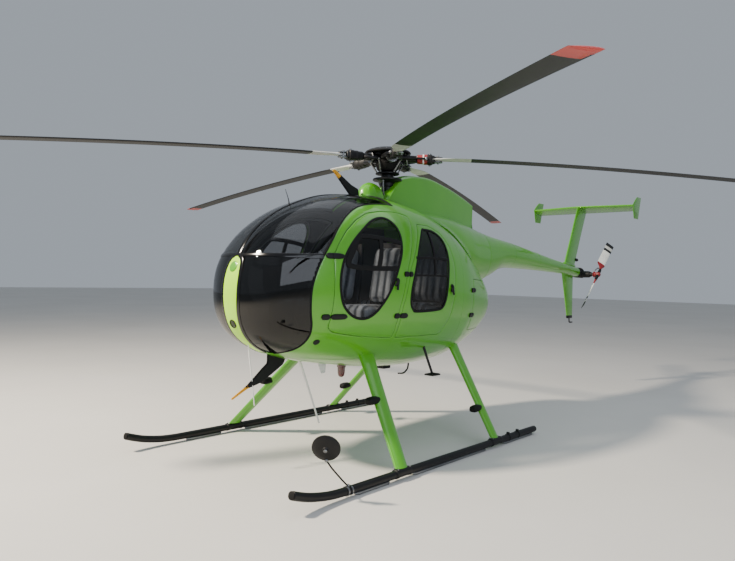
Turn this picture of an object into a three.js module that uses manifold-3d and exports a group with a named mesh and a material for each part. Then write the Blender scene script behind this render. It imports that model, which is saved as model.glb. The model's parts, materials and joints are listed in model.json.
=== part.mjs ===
// A light single-engine helicopter with an egg-shaped cabin, a five-blade main rotor,
// a two-blade tail rotor, a T-tail and tall skids, built as separate solids.
// Millimetres, +Z up, +Y towards the tail, +X to the aircraft's left.
// Stations are measured from the ground up and along the hull. At the end the whole is set
// so that the flat cargo hook pad under the mast is the origin.
import * as THREE from "three";
import { mergeVertices } from "three/addons/utils/BufferGeometryUtils.js";
import Module from "manifold-3d";

const wasm = await Module();
wasm.setup();

// General sizes
const GAP = 0.3;
const DATUM = new THREE.Vector3(0, -100, 680);
const FLOOR_Z = 1040;
const WALL = 30;
const GLASS = 10;
const COWL = 22;
const DOOR_GAP = 6;
const REAR_DOOR_GAP = 14;

// Hull sections: station y, top z, bottom z, half width
const HULL = [
  [-2045, 1444, 1444, 0],
  [-2000, 1696, 1202, 251],
  [-1900, 1886, 1069, 423],
  [-1700, 2083, 953, 525],
  [-1400, 2245, 867, 615],
  [-950, 2372, 790, 672],
  [-500, 2406, 738, 699],
  [-50, 2362, 713, 692],
  [450, 2227, 738, 647],
  [900, 1971, 864, 539],
  [1200, 1723, 1020, 441],
  [1420, 1475, 1304, 273],
  [1480, 1402, 1378, 60],
];
const HULL_POWER = 2.25;
const HULL_RINGS = 24;
const HULL_SIDES = 40;

// Outlines in the side view, as [y, z]
const CANOPY_EDGE = [
  [-500, 2600], [-500, 2290], [-611, 2292], [-809, 2272], [-1000, 2228], [-1175, 2141],
  [-1322, 2024], [-1420, 1916], [-1494, 1827], [-1548, 1750], [-1599, 1657], [-1638, 1542],
  [-1648, 1427], [-1633, 1313], [-1598, 1211], [-1578, 1128], [-1583, 1053], [-1609, 997],
  [-1657, 960], [-1720, 900], [-2200, 900], [-2200, 2600],
];
const FRONT_DOOR = [
  [-1450, 1190], [-1400, 1142], [-1100, 1095], [-673, 1062], [-682, 1332], [-593, 1706],
  [-420, 2100], [-375, 2196], [-560, 2222], [-750, 2214], [-950, 2178], [-1110, 2106],
  [-1260, 2002], [-1370, 1892], [-1450, 1780],
];
const FRONT_WINDOW = [
  [-1104, 1252], [-993, 1287], [-891, 1394], [-801, 1534], [-725, 1700], [-664, 1848],
  [-640, 1980], [-655, 2071], [-716, 2131], [-793, 2146], [-900, 2122], [-1015, 2064],
  [-1203, 1926], [-1328, 1785], [-1384, 1649], [-1390, 1511], [-1347, 1378], [-1237, 1284],
];
const REAR_DOOR = [
  [-637, 1062], [30, 1062], [130, 1200], [190, 1450], [200, 1750], [170, 1930], [80, 2060],
  [-100, 2128], [-310, 2128], [-557, 1706], [-646, 1332],
];
const REAR_WINDOW = [
  [-493, 1323], [-430, 1303], [-119, 1312], [-20, 1340], [28, 1440], [60, 1650], [86, 1810],
  [84, 1923], [50, 2010], [-60, 2070], [-200, 2080], [-270, 2062], [-398, 1898], [-483, 1703],
  [-539, 1519], [-540, 1390],
];
const ENGINE_DOOR = [
  [620, 1075], [1600, 1075], [1600, 1560], [1300, 1590], [620, 1620],
];
// Nose strip: height z, half width
const NOSE_STRIP = [
  [1772, 34], [1750, 62], [1680, 82], [1560, 91], [1440, 90], [1320, 82], [1200, 74], [1090, 62], [1000, 40],
  [900, 26],
];
const STRIP_BORDER = 22;
const SEAM_Z = 1770;
const SEAM_HALF = 13;
const CENTRE_HALF = 17;

// Upper deck and tail boom: station y, top z, bottom z, half width
const DECK = [
  [150, 2332, 1900, 240],
  [450, 2338, 1800, 300],
  [800, 2322, 1700, 318],
  [1100, 2288, 1610, 296],
  [1340, 2250, 1560, 262],
  [1600, 2200, 1590, 226],
];
const BOOM = [
  [1600 + GAP, 2200, 1590, 226],
  [1850, 2166, 1668, 202],
  [2080, 2142, 1752, 182],
  [2360, 2113, 1779, 167],
  [3960, 1910, 1740, 85],
  [4520, 1846, 1702, 72],
];

// Rotor fairing: station y, top z, half width at the top, half width at the deck
const FAIRING = [
  [-235, 2395, 112, 128],
  [-150, 2500, 114, 134],
  [10, 2655, 112, 140],
  [230, 2700, 110, 140],
  [470, 2712, 102, 132],
  [900, 2658, 74, 100],
  [1250, 2585, 38, 58],
  [1500, 2515, 8, 14],
];
const FAIRING_FLOOR = 2120;

// Main rotor
const MAST_Y = -100;
const HUB_Z = 2831;
const ROTOR_R = 4025;
const BLADE_CHORD = 171;
const GRIP_END = 430;
// Parked blades: bearing from the nose towards the left side, height of the tip
const BLADES = [
  [-21.0, 2590],
  [52.5, 2590],
  [124.5, 2550],
  [195.1, 2520],
  [266.2, 2550],
];

// Tail rotor
const TAIL_HUB = new THREE.Vector3(318, 4617, 1740);
const TAIL_R = 700;
const TAIL_CHORD = 135;
const TAIL_ANGLE = 42.2;

// Landing gear
const SKID_X = 1104;
const SKID_R = 32;
const SKID_Z = 52;
// Struts: name, top y, top z, foot y
const STRUTS = [
  ["front", -815, 900, -1141],
  ["rear", 555, 930, 300],
];
const STRUT_TOP_X = 400;
const STRUT_CHORD = 122;
const STRUT_DEPTH = 54;

// Door hinges: station y and z of a hinge
const FRONT_HINGES = [[-1455, 1777], [-1455, 1277]];
const FRONT_AXIS = [616, -1456];
const REAR_HINGES = [1650, 1270];
const REAR_AXIS = { low: [690, -664, 1270], high: [718, -587, 1646] };
const ENGINE_HINGES = [1500, 1240];
const ENGINE_AXIS = [646, 606];
const KNUCKLE_R = 9;
const KNUCKLE_L = 34;

const PAINT = ["#7fc832", 0.0, 0.25];
const BLACK = ["#16171a", 0.0, 0.45];
const SMOKE = ["#20262c", 0.0, 0.1];
const STEEL = ["#5a5d61", 0.8, 0.4];
const TRIM = ["#2b2d30", 0.0, 0.8];
const PALE = ["#d5d8d6", 0.1, 0.4];

// A closed body from rings of equal length, with a fan at either end
function loft(rings) {
  const count = rings[0].length;
  const points = rings.flat();
  const index = [];
  for (let r = 0; r + 1 < rings.length; r += 1) {
    for (let k = 0; k < count; k += 1) {
      const a = r * count + k;
      const b = r * count + ((k + 1) % count);
      index.push(a, b, b + count, a, b + count, a + count);
    }
  }
  const ends = [[rings[0], 0, true], [rings[rings.length - 1], (rings.length - 1) * count, false]];
  for (const [ring, first, flip] of ends) {
    const centre = [0, 1, 2].map((c) => ring.reduce((sum, p) => sum + p[c], 0) / count);
    points.push(centre);
    for (let k = 0; k < count; k += 1) {
      const a = first + k;
      const b = first + ((k + 1) % count);
      index.push(...(flip ? [points.length - 1, b, a] : [points.length - 1, a, b]));
    }
  }
  let volume = 0;
  for (let t = 0; t < index.length; t += 3) {
    const [p, q, s] = [points[index[t]], points[index[t + 1]], points[index[t + 2]]];
    volume += p[0] * (q[1] * s[2] - q[2] * s[1]);
    volume += p[1] * (q[2] * s[0] - q[0] * s[2]);
    volume += p[2] * (q[0] * s[1] - q[1] * s[0]);
  }
  if (volume < 0) {
    index.reverse();
  }
  const geometry = new THREE.BufferGeometry();
  geometry.setAttribute("position", new THREE.BufferAttribute(new Float32Array(points.flat()), 3));
  geometry.setIndex(index);
  return solid(geometry);
}

// A three.js geometry as a solid for cutting
function solid(geometry) {
  const plain = geometry.clone();
  plain.deleteAttribute("normal");
  plain.deleteAttribute("uv");
  const merged = mergeVertices(plain, 1e-3);
  const triVerts = [];
  const index = merged.index.array;
  for (let t = 0; t < index.length; t += 3) {
    if (index[t] !== index[t + 1] && index[t + 1] !== index[t + 2] && index[t] !== index[t + 2]) {
      triVerts.push(index[t], index[t + 1], index[t + 2]);
    }
  }
  const mesh = new wasm.Mesh({
    numProp: 3,
    vertProperties: new Float32Array(merged.attributes.position.array),
    triVerts: new Uint32Array(triVerts),
  });
  return new wasm.Manifold(mesh);
}

function toGeometry(body) {
  const mesh = body.getMesh();
  const geometry = new THREE.BufferGeometry();
  geometry.setAttribute("position", new THREE.BufferAttribute(new Float32Array(mesh.vertProperties), 3));
  geometry.setIndex(Array.from(mesh.triVerts));
  const flat = geometry.toNonIndexed();
  flat.computeVertexNormals();
  return flat;
}

const add = (...bodies) => bodies.reduce((a, b) => a.add(b));
const cut = (body, ...tools) => tools.reduce((a, b) => a.subtract(b), body);
const meet = (...bodies) => bodies.reduce((a, b) => a.intersect(b));

// A box from its two corners
function box(x0, x1, y0, y1, z0, z1) {
  const ring = (z) => [[x0, y0, z], [x1, y0, z], [x1, y1, z], [x0, y1, z]];
  return loft([ring(z0), ring(z1)]);
}

// A round bar or pipe through points, with one radius or one per point
function rod(path, radius, sides = 10) {
  const points = path.map((p) => new THREE.Vector3(...p));
  const rings = points.map((point, k) => {
    const before = points[Math.max(k - 1, 0)];
    const after = points[Math.min(k + 1, points.length - 1)];
    const along = after.clone().sub(before).normalize();
    const side = new THREE.Vector3(1, 0, 0);
    if (Math.abs(along.x) > 0.9) {
      side.set(0, 1, 0);
    }
    side.sub(along.clone().multiplyScalar(side.dot(along))).normalize();
    const up = along.clone().cross(side);
    const r = Array.isArray(radius) ? radius[k] : radius;
    return Array.from({ length: sides }, (_, n) => {
      const turn = (2 * Math.PI * (n + 0.5)) / sides;
      return point.clone()
        .addScaledVector(side, r * Math.cos(turn))
        .addScaledVector(up, r * Math.sin(turn))
        .toArray();
    });
  });
  return loft(rings);
}

// A side-view outline carried across from x0 to x1
function acrossX(outline, x0, x1) {
  return prism(outline, (p, x) => [x, p[0], p[1]], x0, x1);
}

// A front-view outline, as [x, z], carried from y0 to y1
function alongY(outline, y0, y1) {
  return prism(outline, (p, y) => [p[0], y, p[1]], y0, y1);
}

function prism(outline, place, from, to) {
  const shape = outline.map((p) => new THREE.Vector2(...p));
  const faces = THREE.ShapeUtils.triangulateShape(shape, []);
  const points = [...outline.map((p) => place(p, from)), ...outline.map((p) => place(p, to))];
  const count = outline.length;
  const index = [];
  for (const [a, b, c] of faces) {
    index.push(a, c, b, a + count, b + count, c + count);
  }
  for (let k = 0; k < count; k += 1) {
    const next = (k + 1) % count;
    if (THREE.ShapeUtils.isClockWise(shape)) {
      index.push(k, k + count, next, next, k + count, next + count);
    } else {
      index.push(k, next, next + count, k, next + count, k + count);
    }
  }
  let volume = 0;
  for (let t = 0; t < index.length; t += 3) {
    const [p, q, s] = [points[index[t]], points[index[t + 1]], points[index[t + 2]]];
    volume += new THREE.Vector3(...p).dot(new THREE.Vector3(...q).cross(new THREE.Vector3(...s)));
  }
  if (volume < 0) {
    index.reverse();
  }
  const geometry = new THREE.BufferGeometry();
  geometry.setAttribute("position", new THREE.BufferAttribute(new Float32Array(points.flat()), 3));
  geometry.setIndex(index);
  return solid(geometry);
}

// An outline drawn in by a distance, or out where the distance is below zero
function inset(outline, distance) {
  const count = outline.length;
  const area = outline.reduce((sum, p, k) => {
    const q = outline[(k + 1) % count];
    return sum + p[0] * q[1] - q[0] * p[1];
  }, 0);
  const turn = Math.sign(area);
  return outline.map((p, k) => {
    const a = outline[(k + count - 1) % count];
    const b = outline[(k + 1) % count];
    const normal = (from, to) => {
      const v = new THREE.Vector2(to[0] - from[0], to[1] - from[1]).normalize();
      return new THREE.Vector2(-v.y * turn, v.x * turn);
    };
    const n0 = normal(a, p);
    const n1 = normal(p, b);
    const scale = distance / (1 + n0.dot(n1));
    return [p[0] + (n0.x + n1.x) * scale, p[1] + (n0.y + n1.y) * scale];
  });
}

// Smooth values between stations, without overshoot
function smooth(xs, ys) {
  const d = ys.slice(1).map((y, k) => (y - ys[k]) / (xs[k + 1] - xs[k]));
  const slope = ys.map((_, k) => {
    if (k === 0) {
      return d[0];
    }
    if (k === ys.length - 1) {
      return d[k - 1];
    }
    return d[k - 1] * d[k] <= 0 ? 0 : (2 * d[k - 1] * d[k]) / (d[k - 1] + d[k]);
  });
  return (x) => {
    let k = 0;
    while (k < xs.length - 2 && x > xs[k + 1]) {
      k += 1;
    }
    const h = xs[k + 1] - xs[k];
    const t = (x - xs[k]) / h;
    const s = 1 - t;
    return s * s * (1 + 2 * t) * ys[k] + t * t * (3 - 2 * t) * ys[k + 1]
      + h * t * s * (s * slope[k] - t * slope[k + 1]);
  };
}

const hullRoot = HULL.map((row) => Math.sqrt(row[0] - HULL[0][0]));
const [hullTop, hullBottom, hullWidth] = [1, 2, 3].map((c) => smooth(hullRoot, HULL.map((row) => row[c])));

// The hull, drawn in by a distance
function hull(depth = 0) {
  const last = hullRoot[hullRoot.length - 1];
  const rings = [];
  for (let r = 0; r <= HULL_RINGS; r += 1) {
    const m = Math.max(0.02, (last * r) / HULL_RINGS);
    const y = HULL[0][0] + m * m;
    const top = hullTop(m);
    const bottom = hullBottom(m);
    const middle = (top + bottom) / 2;
    const half = Math.max((top - bottom) / 2 - depth, 1);
    const width = Math.max(hullWidth(m) - depth, 1);
    const shift = depth * Math.max(0, 1 - r / 4) - depth * Math.max(0, r / 3 - HULL_RINGS / 3 + 1);
    const ring = [];
    for (let k = 0; k < HULL_SIDES; k += 1) {
      const turn = (2 * Math.PI * k) / HULL_SIDES;
      const c = Math.cos(turn);
      const s = Math.sin(turn);
      ring.push([
        width * Math.sign(c) * Math.abs(c) ** (2 / HULL_POWER),
        y + shift,
        middle + half * Math.sign(s) * Math.abs(s) ** (2 / HULL_POWER),
      ]);
    }
    rings.push(ring);
  }
  return loft(rings);
}

// Rings of an oval body from rows of station, top, bottom and half width
function oval(rows, grow = 0, sides = 20) {
  return loft(rows.map(([y, top, bottom, half]) => Array.from({ length: sides }, (_, k) => {
    const turn = (2 * Math.PI * k) / sides;
    const height = (top - bottom) / 2 + grow;
    return [(half + grow) * Math.cos(turn), y, (top + bottom) / 2 + height * Math.sin(turn)];
  })));
}

// A wing-like body between two chord lines: each end has leading edge, trailing edge and thickness
function wing(ends, across) {
  return loft(ends.map(({ lead, trail, thick }) => {
    const profile = [[0, 0], [0.1, 0.42], [0.35, 0.5], [0.7, 0.28], [1, 0.03], [1, -0.03], [0.7, -0.28],
      [0.35, -0.5], [0.1, -0.42]];
    const from = new THREE.Vector3(...lead);
    const chord = new THREE.Vector3(...trail).sub(from);
    return profile.map(([along, off]) => from.clone()
      .addScaledVector(chord, along)
      .addScaledVector(across, off * thick)
      .toArray());
  }));
}

// Main pieces of the hull
const outer = hull();
const clear = hull(-GAP);
const glassInner = hull(GLASS);
const wallInner = hull(WALL);
const cowlInner = hull(COWL);
const skin = (inner) => cut(outer, inner);

const cabin = cut(wallInner, box(-900, 900, -2300, 2000, 0, FLOOR_Z), box(-900, 900, 480, 2000, 0, 3000));
const chin = meet(wallInner, box(-900, 900, -2300, -1560, 0, FLOOR_Z + 1));
const bay = meet(cowlInner, box(-900, 900, 660, 1600, 1075, 1560));
const canopyCut = acrossX(CANOPY_EDGE, -900, 900);
const canopyPlug = acrossX(inset(CANOPY_EDGE, GAP + 0.1), -900, 900);

const deck = oval(DECK);
const deckClear = oval(DECK.map(([y, ...rest], k) => [y + (k === 0 ? -GAP : 0), ...rest]), GAP);

// Knuckles of a hinge on an upright or slanted axis: fixed above, moving below
function axisPoint(axis, z) {
  const t = (z - axis.low[2]) / (axis.high[2] - axis.low[2]);
  return axis.low.map((v, k) => v + t * (axis.high[k] - v));
}

function knuckle(axis, z0, z1, side) {
  const flip = ([x, y, z]) => [x * side, y, z];
  return rod([flip(axisPoint(axis, z0)), flip(axisPoint(axis, z1))], KNUCKLE_R, 12);
}

// An arm from a knuckle to the panel, from y0 to y1
function arm(axis, z0, z1, side, y0, y1, reach) {
  const [x, y] = axisPoint(axis, (z0 + z1) / 2);
  const outline = [
    [side * (x + KNUCKLE_R - 3), y - (y0 < 0 ? KNUCKLE_R - 3 : -2)],
    [side * (x + KNUCKLE_R - 3), y + (y1 > 0 ? KNUCKLE_R - 3 : -2)],
    [side * (x - reach + 8), y + y1],
    [side * (x - reach), y + y1],
    [side * (x - reach), y + y0],
    [side * (x - reach + 8), y + y0],
  ];
  return loft([z0, z1].map((z) => outline.map(([px, py]) => [px, py, z])));
}

const HINGED = [
  {
    name: "front_door",
    outline: FRONT_DOOR,
    window: FRONT_WINDOW,
    depth: wallInner,
    axis: { low: [FRONT_AXIS[0], FRONT_AXIS[1], 0], high: [FRONT_AXIS[0], FRONT_AXIS[1], 1000] },
    gap: DOOR_GAP,
    hinges: FRONT_HINGES.map((row) => row[1]),
    reach: [62, 72],
    fixed: [-62, 0],
    moving: [14, 92],
  },
  {
    name: "rear_door",
    outline: REAR_DOOR,
    window: REAR_WINDOW,
    depth: wallInner,
    axis: REAR_AXIS,
    gap: REAR_DOOR_GAP,
    hinges: REAR_HINGES,
    reach: [44, 44],
    fixed: [-13, 9],
    moving: [28, 75],
  },
  {
    name: "engine_door",
    outline: ENGINE_DOOR,
    window: null,
    depth: cowlInner,
    axis: { low: [ENGINE_AXIS[0], ENGINE_AXIS[1], 0], high: [ENGINE_AXIS[0], ENGINE_AXIS[1], 1000] },
    gap: DOOR_GAP,
    hinges: ENGINE_HINGES,
    reach: [44, 60],
    fixed: [-50, 0],
    moving: [24, 62],
  },
];

const EXHAUST_Z = 1340;
const exhaustLine = [[0, 1190, EXHAUST_Z], [0, 1560, EXHAUST_Z]];

let shell = cut(outer, cabin, chin, canopyCut, bay);
for (const door of HINGED) {
  shell = cut(shell, acrossX(door.outline, -900, 900));
}

const parts = [];
const hinged = {};

function keep(name, body, finish, owner = "airframe") {
  parts.push({ name, body, finish, owner });
}

const near = hull(-4);
for (const door of HINGED) {
  const opening = acrossX(door.outline, -900, 900);
  const leaf = acrossX(inset(door.outline, door.gap), -900, 900);
  for (const [side, label] of [[1, "left"], [-1, "right"]]) {
    const half = box(side > 0 ? 4 : -900, side > 0 ? 900 : -4, -2300, 2000, 0, 3000);
    let panel = meet(skin(door.depth), leaf, half);
    if (door.window) {
      panel = cut(panel, acrossX(door.window, -900, 900));
    } else {
      panel = cut(panel, rod(exhaustLine.map(([x, y, z], k) => [x, y + (k ? 60 : -60), z]), 92, 20));
    }
    door.hinges.forEach((z, k) => {
      const reach = door.reach[k];
      const top = z + KNUCKLE_L / 2;
      const low = z - KNUCKLE_L / 2;
      const fixed = add(
        knuckle(door.axis, z + GAP / 2, top, side),
        cut(arm(door.axis, z + 4, top, side, ...door.fixed, reach), hull(8), meet(near, opening)),
      );
      const moving = add(
        knuckle(door.axis, low, z - GAP / 2, side),
        cut(arm(door.axis, low, z - 4, side, ...door.moving, reach), hull(8), cut(near, leaf)),
      );
      shell = add(shell, fixed);
      panel = add(panel, moving);
    });
    const owner = `${door.name}_${label}`;
    keep(owner, panel, PAINT, owner);
    if (door.window) {
      const pane = meet(
        cut(hull(3), hull(3 + GLASS)),
        acrossX(inset(door.window, GAP + 0.1), -900, 900),
        half,
      );
      keep(`${owner.replace("door", "window")}`, pane, SMOKE, owner);
    }
    hinged[owner] = true;
  }
}
keep("fuselage_shell", shell, PAINT);

// Canopy: black frame, nose strip and four panes
function stripOutline(grow) {
  const left = NOSE_STRIP.map(([z, half]) => [half + grow, z]);
  left[0][1] += grow;
  return [...left, ...left.map(([x, z]) => [-x, z]).reverse()];
}

function frameShape(grow) {
  return add(
    box(-CENTRE_HALF - grow, CENTRE_HALF + grow, -2300, -400, SEAM_Z, 3000),
    box(-900, 900, -2300, -1300, SEAM_Z - SEAM_HALF - grow, SEAM_Z + SEAM_HALF + grow),
    alongY(stripOutline(STRIP_BORDER + grow), -2300, -1500),
  );
}

const canopySkin = meet(cut(outer, glassInner), canopyPlug);
const stripCut = alongY(stripOutline(GAP), -2300, -1500);
const frameSkin = meet(cut(outer, cowlInner), canopyPlug);
keep("canopy_frame", cut(meet(frameSkin, frameShape(0)), stripCut), BLACK);
keep("nose_strip", meet(frameSkin, alongY(stripOutline(0), -2300, -1500)), PAINT);
for (const [side, label] of [[1, "left"], [-1, "right"]]) {
  const half = side > 0 ? [0, 900] : [-900, 0];
  for (const [level, low, high] of [["upper", SEAM_Z, 3000], ["lower", 0, SEAM_Z]]) {
    const region = box(half[0], half[1], -2300, -400, low, high);
    keep(`canopy_${level}_${label}`, cut(meet(canopySkin, region), frameShape(GAP)), SMOKE);
  }
}

// Cabin fittings
keep("instrument_panel", add(
  box(-105, 105, -1560, -1430, FLOOR_Z + GAP, 1500),
  loft([
    [[-190, -1575, 1440], [190, -1575, 1440], [190, -1500, 1420], [-190, -1500, 1420]],
    [[-190, -1540, 1690], [190, -1540, 1690], [190, -1465, 1680], [-190, -1465, 1680]],
  ]),
), BLACK);

// Seats: name, half span, inner x, cushion front y, back y, cushion z, back top z, lean
const SEATS = [
  ["front_seat_left", 60, 520, -950, -470, 1330, 1960, 110],
  ["front_seat_right", -520, -60, -950, -470, 1330, 1960, 110],
  ["rear_seat", -530, 530, -60, 330, 1340, 1900, 90],
];
for (const [name, x0, x1, front, back, cushion, top, lean] of SEATS) {
  const profile = [
    [front, FLOOR_Z + GAP], [back + 110, FLOOR_Z + GAP], [back + 110, cushion], [back + lean + 60, top],
    [back + lean - 40, top], [back - 20, cushion], [front, cushion - 20],
  ];
  keep(name, meet(acrossX(profile, x0, x1), hull(WALL + 12)), TRIM);
}

keep("engine", box(-200, 200, 800, 1185, 1075 + GAP, 1520), STEEL);
const pipe = rod([[0, 1185 + GAP, EXHAUST_Z], [0, 1570, EXHAUST_Z]], 74, 20);
const bore = rod([[0, 1230, EXHAUST_Z], [0, 1600, EXHAUST_Z]], 68, 20);
keep("exhaust_pipe", cut(pipe, bore), STEEL);

// Upper deck, rotor fairing and mast
keep("upper_deck", cut(deck, clear), PAINT);

const fairing = loft(FAIRING.map(([y, top, halfTop, halfLow]) => [
  [halfLow, y, FAIRING_FLOOR], [halfTop, y, top - 40], [halfTop * 0.8, y, top - 8], [0, y, top],
  [-halfTop * 0.8, y, top - 8], [-halfTop, y, top - 40], [-halfLow, y, FAIRING_FLOOR],
]));
const notch = box(-84, 84, -400, MAST_Y + 100, 2000, 3000);
keep("rotor_fairing", cut(fairing, notch, clear, deckClear), PAINT);

const dome = loft([[-520, 2380, 10], [-490, 2452, 70], [-420, 2492, 104], [-330, 2500, 112], [-270, 2485, 104]].map(
  ([y, top, half]) => Array.from({ length: 10 }, (_, k) => {
    const turn = (Math.PI * k) / 9;
    return [half * Math.cos(turn), y, 2330 + (top - 2330) * Math.sin(turn)];
  }),
));
keep("inlet_cowl", cut(dome, clear), PAINT);

const mastPoint = (r, z) => Array.from({ length: 20 }, (_, k) => {
  const turn = (2 * Math.PI * k) / 20;
  return [r * Math.cos(turn), MAST_Y + r * Math.sin(turn), z];
});
const turned = (rows) => loft(rows.map(([r, z]) => mastPoint(r, z)));
keep("mast", cut(turned([[78, 2300], [74, 2430], [52, 2470], [52, 2590], [92, 2592], [92, 2628]]), clear), BLACK);

// Main rotor: hub with its swashplate and five grips, then the blades
let hub = add(
  turned([[96, 2628 + GAP], [100, 2655], [60, 2664], [40, 2680], [40, 2770], [120, 2785], [165, 2800], [165, 2862],
    [110, 2878], [96, 2915], [60, 2936], [20, 2942]]),
);
const direction = (bearing) => {
  const turn = THREE.MathUtils.degToRad(bearing);
  return new THREE.Vector3(Math.sin(turn), -Math.cos(turn), 0);
};
const bladePoint = (bearing, tip, r, off = 0, up = 0) => {
  const along = direction(bearing);
  const across = new THREE.Vector3(-along.y, along.x, 0);
  const z = HUB_Z + (tip - HUB_Z) * (r / ROTOR_R) ** 1.6;
  return along.multiplyScalar(r).addScaledVector(across, off).add(new THREE.Vector3(0, MAST_Y, z + up)).toArray();
};
// Blade sections: radius, chord, thickness
const BLADE_ROWS = [
  [GRIP_END + GAP, 70, 40],
  [560, 80, 36],
  [640, BLADE_CHORD, 24],
  [1700, BLADE_CHORD, 21],
  [2900, BLADE_CHORD, 21],
  [ROTOR_R, BLADE_CHORD, 18],
];
BLADES.forEach(([bearing, tip], n) => {
  const grip = loft([[90, 36, 30], [230, 42, 34], [260, 50, 40], [400, 48, 38], [GRIP_END, 40, 30]].map(([r, half, high]) => (
    Array.from({ length: 10 }, (_, k) => {
      const turn = (2 * Math.PI * k) / 10;
      return bladePoint(bearing, tip, r, half * Math.cos(turn), high * Math.sin(turn));
    })
  )));
  hub = add(hub, grip);
  const profile = [[-0.25, 0], [-0.2, 0.36], [0, 0.5], [0.35, 0.34], [0.75, 0.06], [0.75, -0.06], [0.35, -0.34],
    [0, -0.5], [-0.2, -0.36]];
  const blade = loft(BLADE_ROWS.map(([r, chord, thick]) => (
    profile.map(([a, b]) => bladePoint(bearing, tip, r, -a * chord, b * thick))
  )));
  keep(`main_blade_${n + 1}`, blade, BLACK, "main_rotor");
});
keep("main_rotor_hub", hub, BLACK, "main_rotor");

// Tail: boom, fins, stabilizer, gearbox and rotor
keep("tail_boom", oval(BOOM, 0, 24), PAINT);
const boomClear = oval(BOOM.map(([y, ...rest], k) => [y + (k === BOOM.length - 1 ? GAP : 0), ...rest]), GAP, 24);
const X = new THREE.Vector3(1, 0, 0);
const Z = new THREE.Vector3(0, 0, 1);
keep("lower_fin", cut(add(
  wing([
    { lead: [0, 4020, 1790], trail: [0, 4420, 1790], thick: 44 },
    { lead: [0, 4240, 1080], trail: [0, 4430, 1080], thick: 30 },
  ], X),
  rod([[0, 4290, 1140], [0, 4300, 1010], [0, 4345, 985], [0, 4400, 1010], [0, 4405, 1140]], 9, 8),
), boomClear), PAINT);
const plane = (drop) => wing([-776, 0, 776].map((x) => ({
  lead: [x, x ? 4570 : 4550, 2768 + GAP - drop],
  trail: [x, 4890, 2768 + GAP - drop],
  thick: x ? 36 : 44,
})), Z);
const endPlate = (side) => wing([
  { lead: [side * 776, 4600, 2590], trail: [side * 776, 4840, 2590], thick: 16 },
  { lead: [side * 776, 4560, 2790], trail: [side * 776, 4900, 2790], thick: 22 },
  { lead: [side * 776, 4720, 2925], trail: [side * 776, 4950, 2925], thick: 16 },
], X);
keep("upper_fin", cut(wing([
  { lead: [0, 4085, 1850], trail: [0, 4450, 1840], thick: 46 },
  { lead: [0, 4517, 2760], trail: [0, 4857, 2760], thick: 38 },
], X), boomClear, plane(GAP)), PAINT);
keep("stabilizer", add(
  plane(0),
  endPlate(1),
  endPlate(-1),
), PAINT);
keep("tail_gearbox", add(
  rod([[0, 4520 + GAP, 1766], [0, 4560, 1766], [0, 4690, 1766]], [62, 78, 60], 16),
  rod([[-70, TAIL_HUB.y, TAIL_HUB.z], [70, TAIL_HUB.y, TAIL_HUB.z], [100, TAIL_HUB.y, TAIL_HUB.z],
    [250, TAIL_HUB.y, TAIL_HUB.z]], [50, 56, 30, 24], 14),
), BLACK);

const tailTurn = THREE.MathUtils.degToRad(TAIL_ANGLE);
const tailAlong = new THREE.Vector3(0, Math.cos(tailTurn), Math.sin(tailTurn));
const tailAcross = new THREE.Vector3(0, -Math.sin(tailTurn), Math.cos(tailTurn));
keep("tail_rotor_hub", add(
  rod([[250 + GAP, TAIL_HUB.y, TAIL_HUB.z], [262, TAIL_HUB.y, TAIL_HUB.z], [300, TAIL_HUB.y, TAIL_HUB.z],
    [352, TAIL_HUB.y, TAIL_HUB.z]], [46, 50, 34, 26], 12),
  rod([-1, 1].map((s) => TAIL_HUB.clone().addScaledVector(tailAlong, s * 120).toArray()), 22, 10),
), STEEL, "tail_rotor");
[1, -1].forEach((side, n) => {
  // Sections: radius, chord, thickness
  const rows = [[120 + GAP, 50, 30], [190, TAIL_CHORD, 18], [TAIL_R, TAIL_CHORD, 14]];
  const profile = [[-0.3, 0], [-0.24, 0.36], [0, 0.5], [0.7, 0.06], [0.7, -0.06], [0, -0.5], [-0.24, -0.36]];
  const blade = loft(rows.map(([r, chord, thick]) => profile.map(([a, b]) => TAIL_HUB.clone()
    .addScaledVector(tailAlong, side * r)
    .addScaledVector(tailAcross, side * a * chord)
    .add(new THREE.Vector3(b * thick, 0, 0))
    .toArray())));
  keep(`tail_blade_${n + 1}`, blade, PALE, "tail_rotor");
});

// Landing gear
for (const [side, label] of [[1, "left"], [-1, "right"]]) {
  const x = side * SKID_X;
  let skid = add(
    rod([[x, 1090, SKID_Z], [x, -1760, SKID_Z], [x, -1960, SKID_Z + 8], [x, -2160, SKID_Z + 42],
      [x, -2333, SKID_Z + 96]], SKID_R, 12),
    box(x - 22, x + 22, -1700, 1040, 0, 30),
  );
  for (const [name, topY, topZ, footY] of STRUTS) {
    skid = add(skid, box(x - 40, x + 40, footY - 95, footY + 95, 26, 92));
    const ring = (cx, cy, z, scale) => Array.from({ length: 14 }, (_, k) => {
      const turn = (2 * Math.PI * k) / 14;
      return [
        cx + scale * (STRUT_DEPTH / 2) * 1.3 * Math.cos(turn),
        cy + scale * (STRUT_CHORD / 2) * Math.sin(turn),
        z,
      ];
    });
    const strut = loft([ring(side * STRUT_TOP_X, topY, topZ, 1.15), ring(x - side * 14, footY, 92 + GAP, 0.95)]);
    keep(`${name}_strut_${label}`, cut(strut, clear), PAINT);
  }
  keep(`skid_${label}`, skid, BLACK);

  const step = add(
    rod([[side * 500, -130, 960], [side * 585, -110, 720]], 13, 8),
    box(side > 0 ? 545 : -645, side > 0 ? 645 : -545, -175, -45, 708, 724),
  );
  keep(`boarding_step_${label}`, cut(step, clear), BLACK);
}

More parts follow.
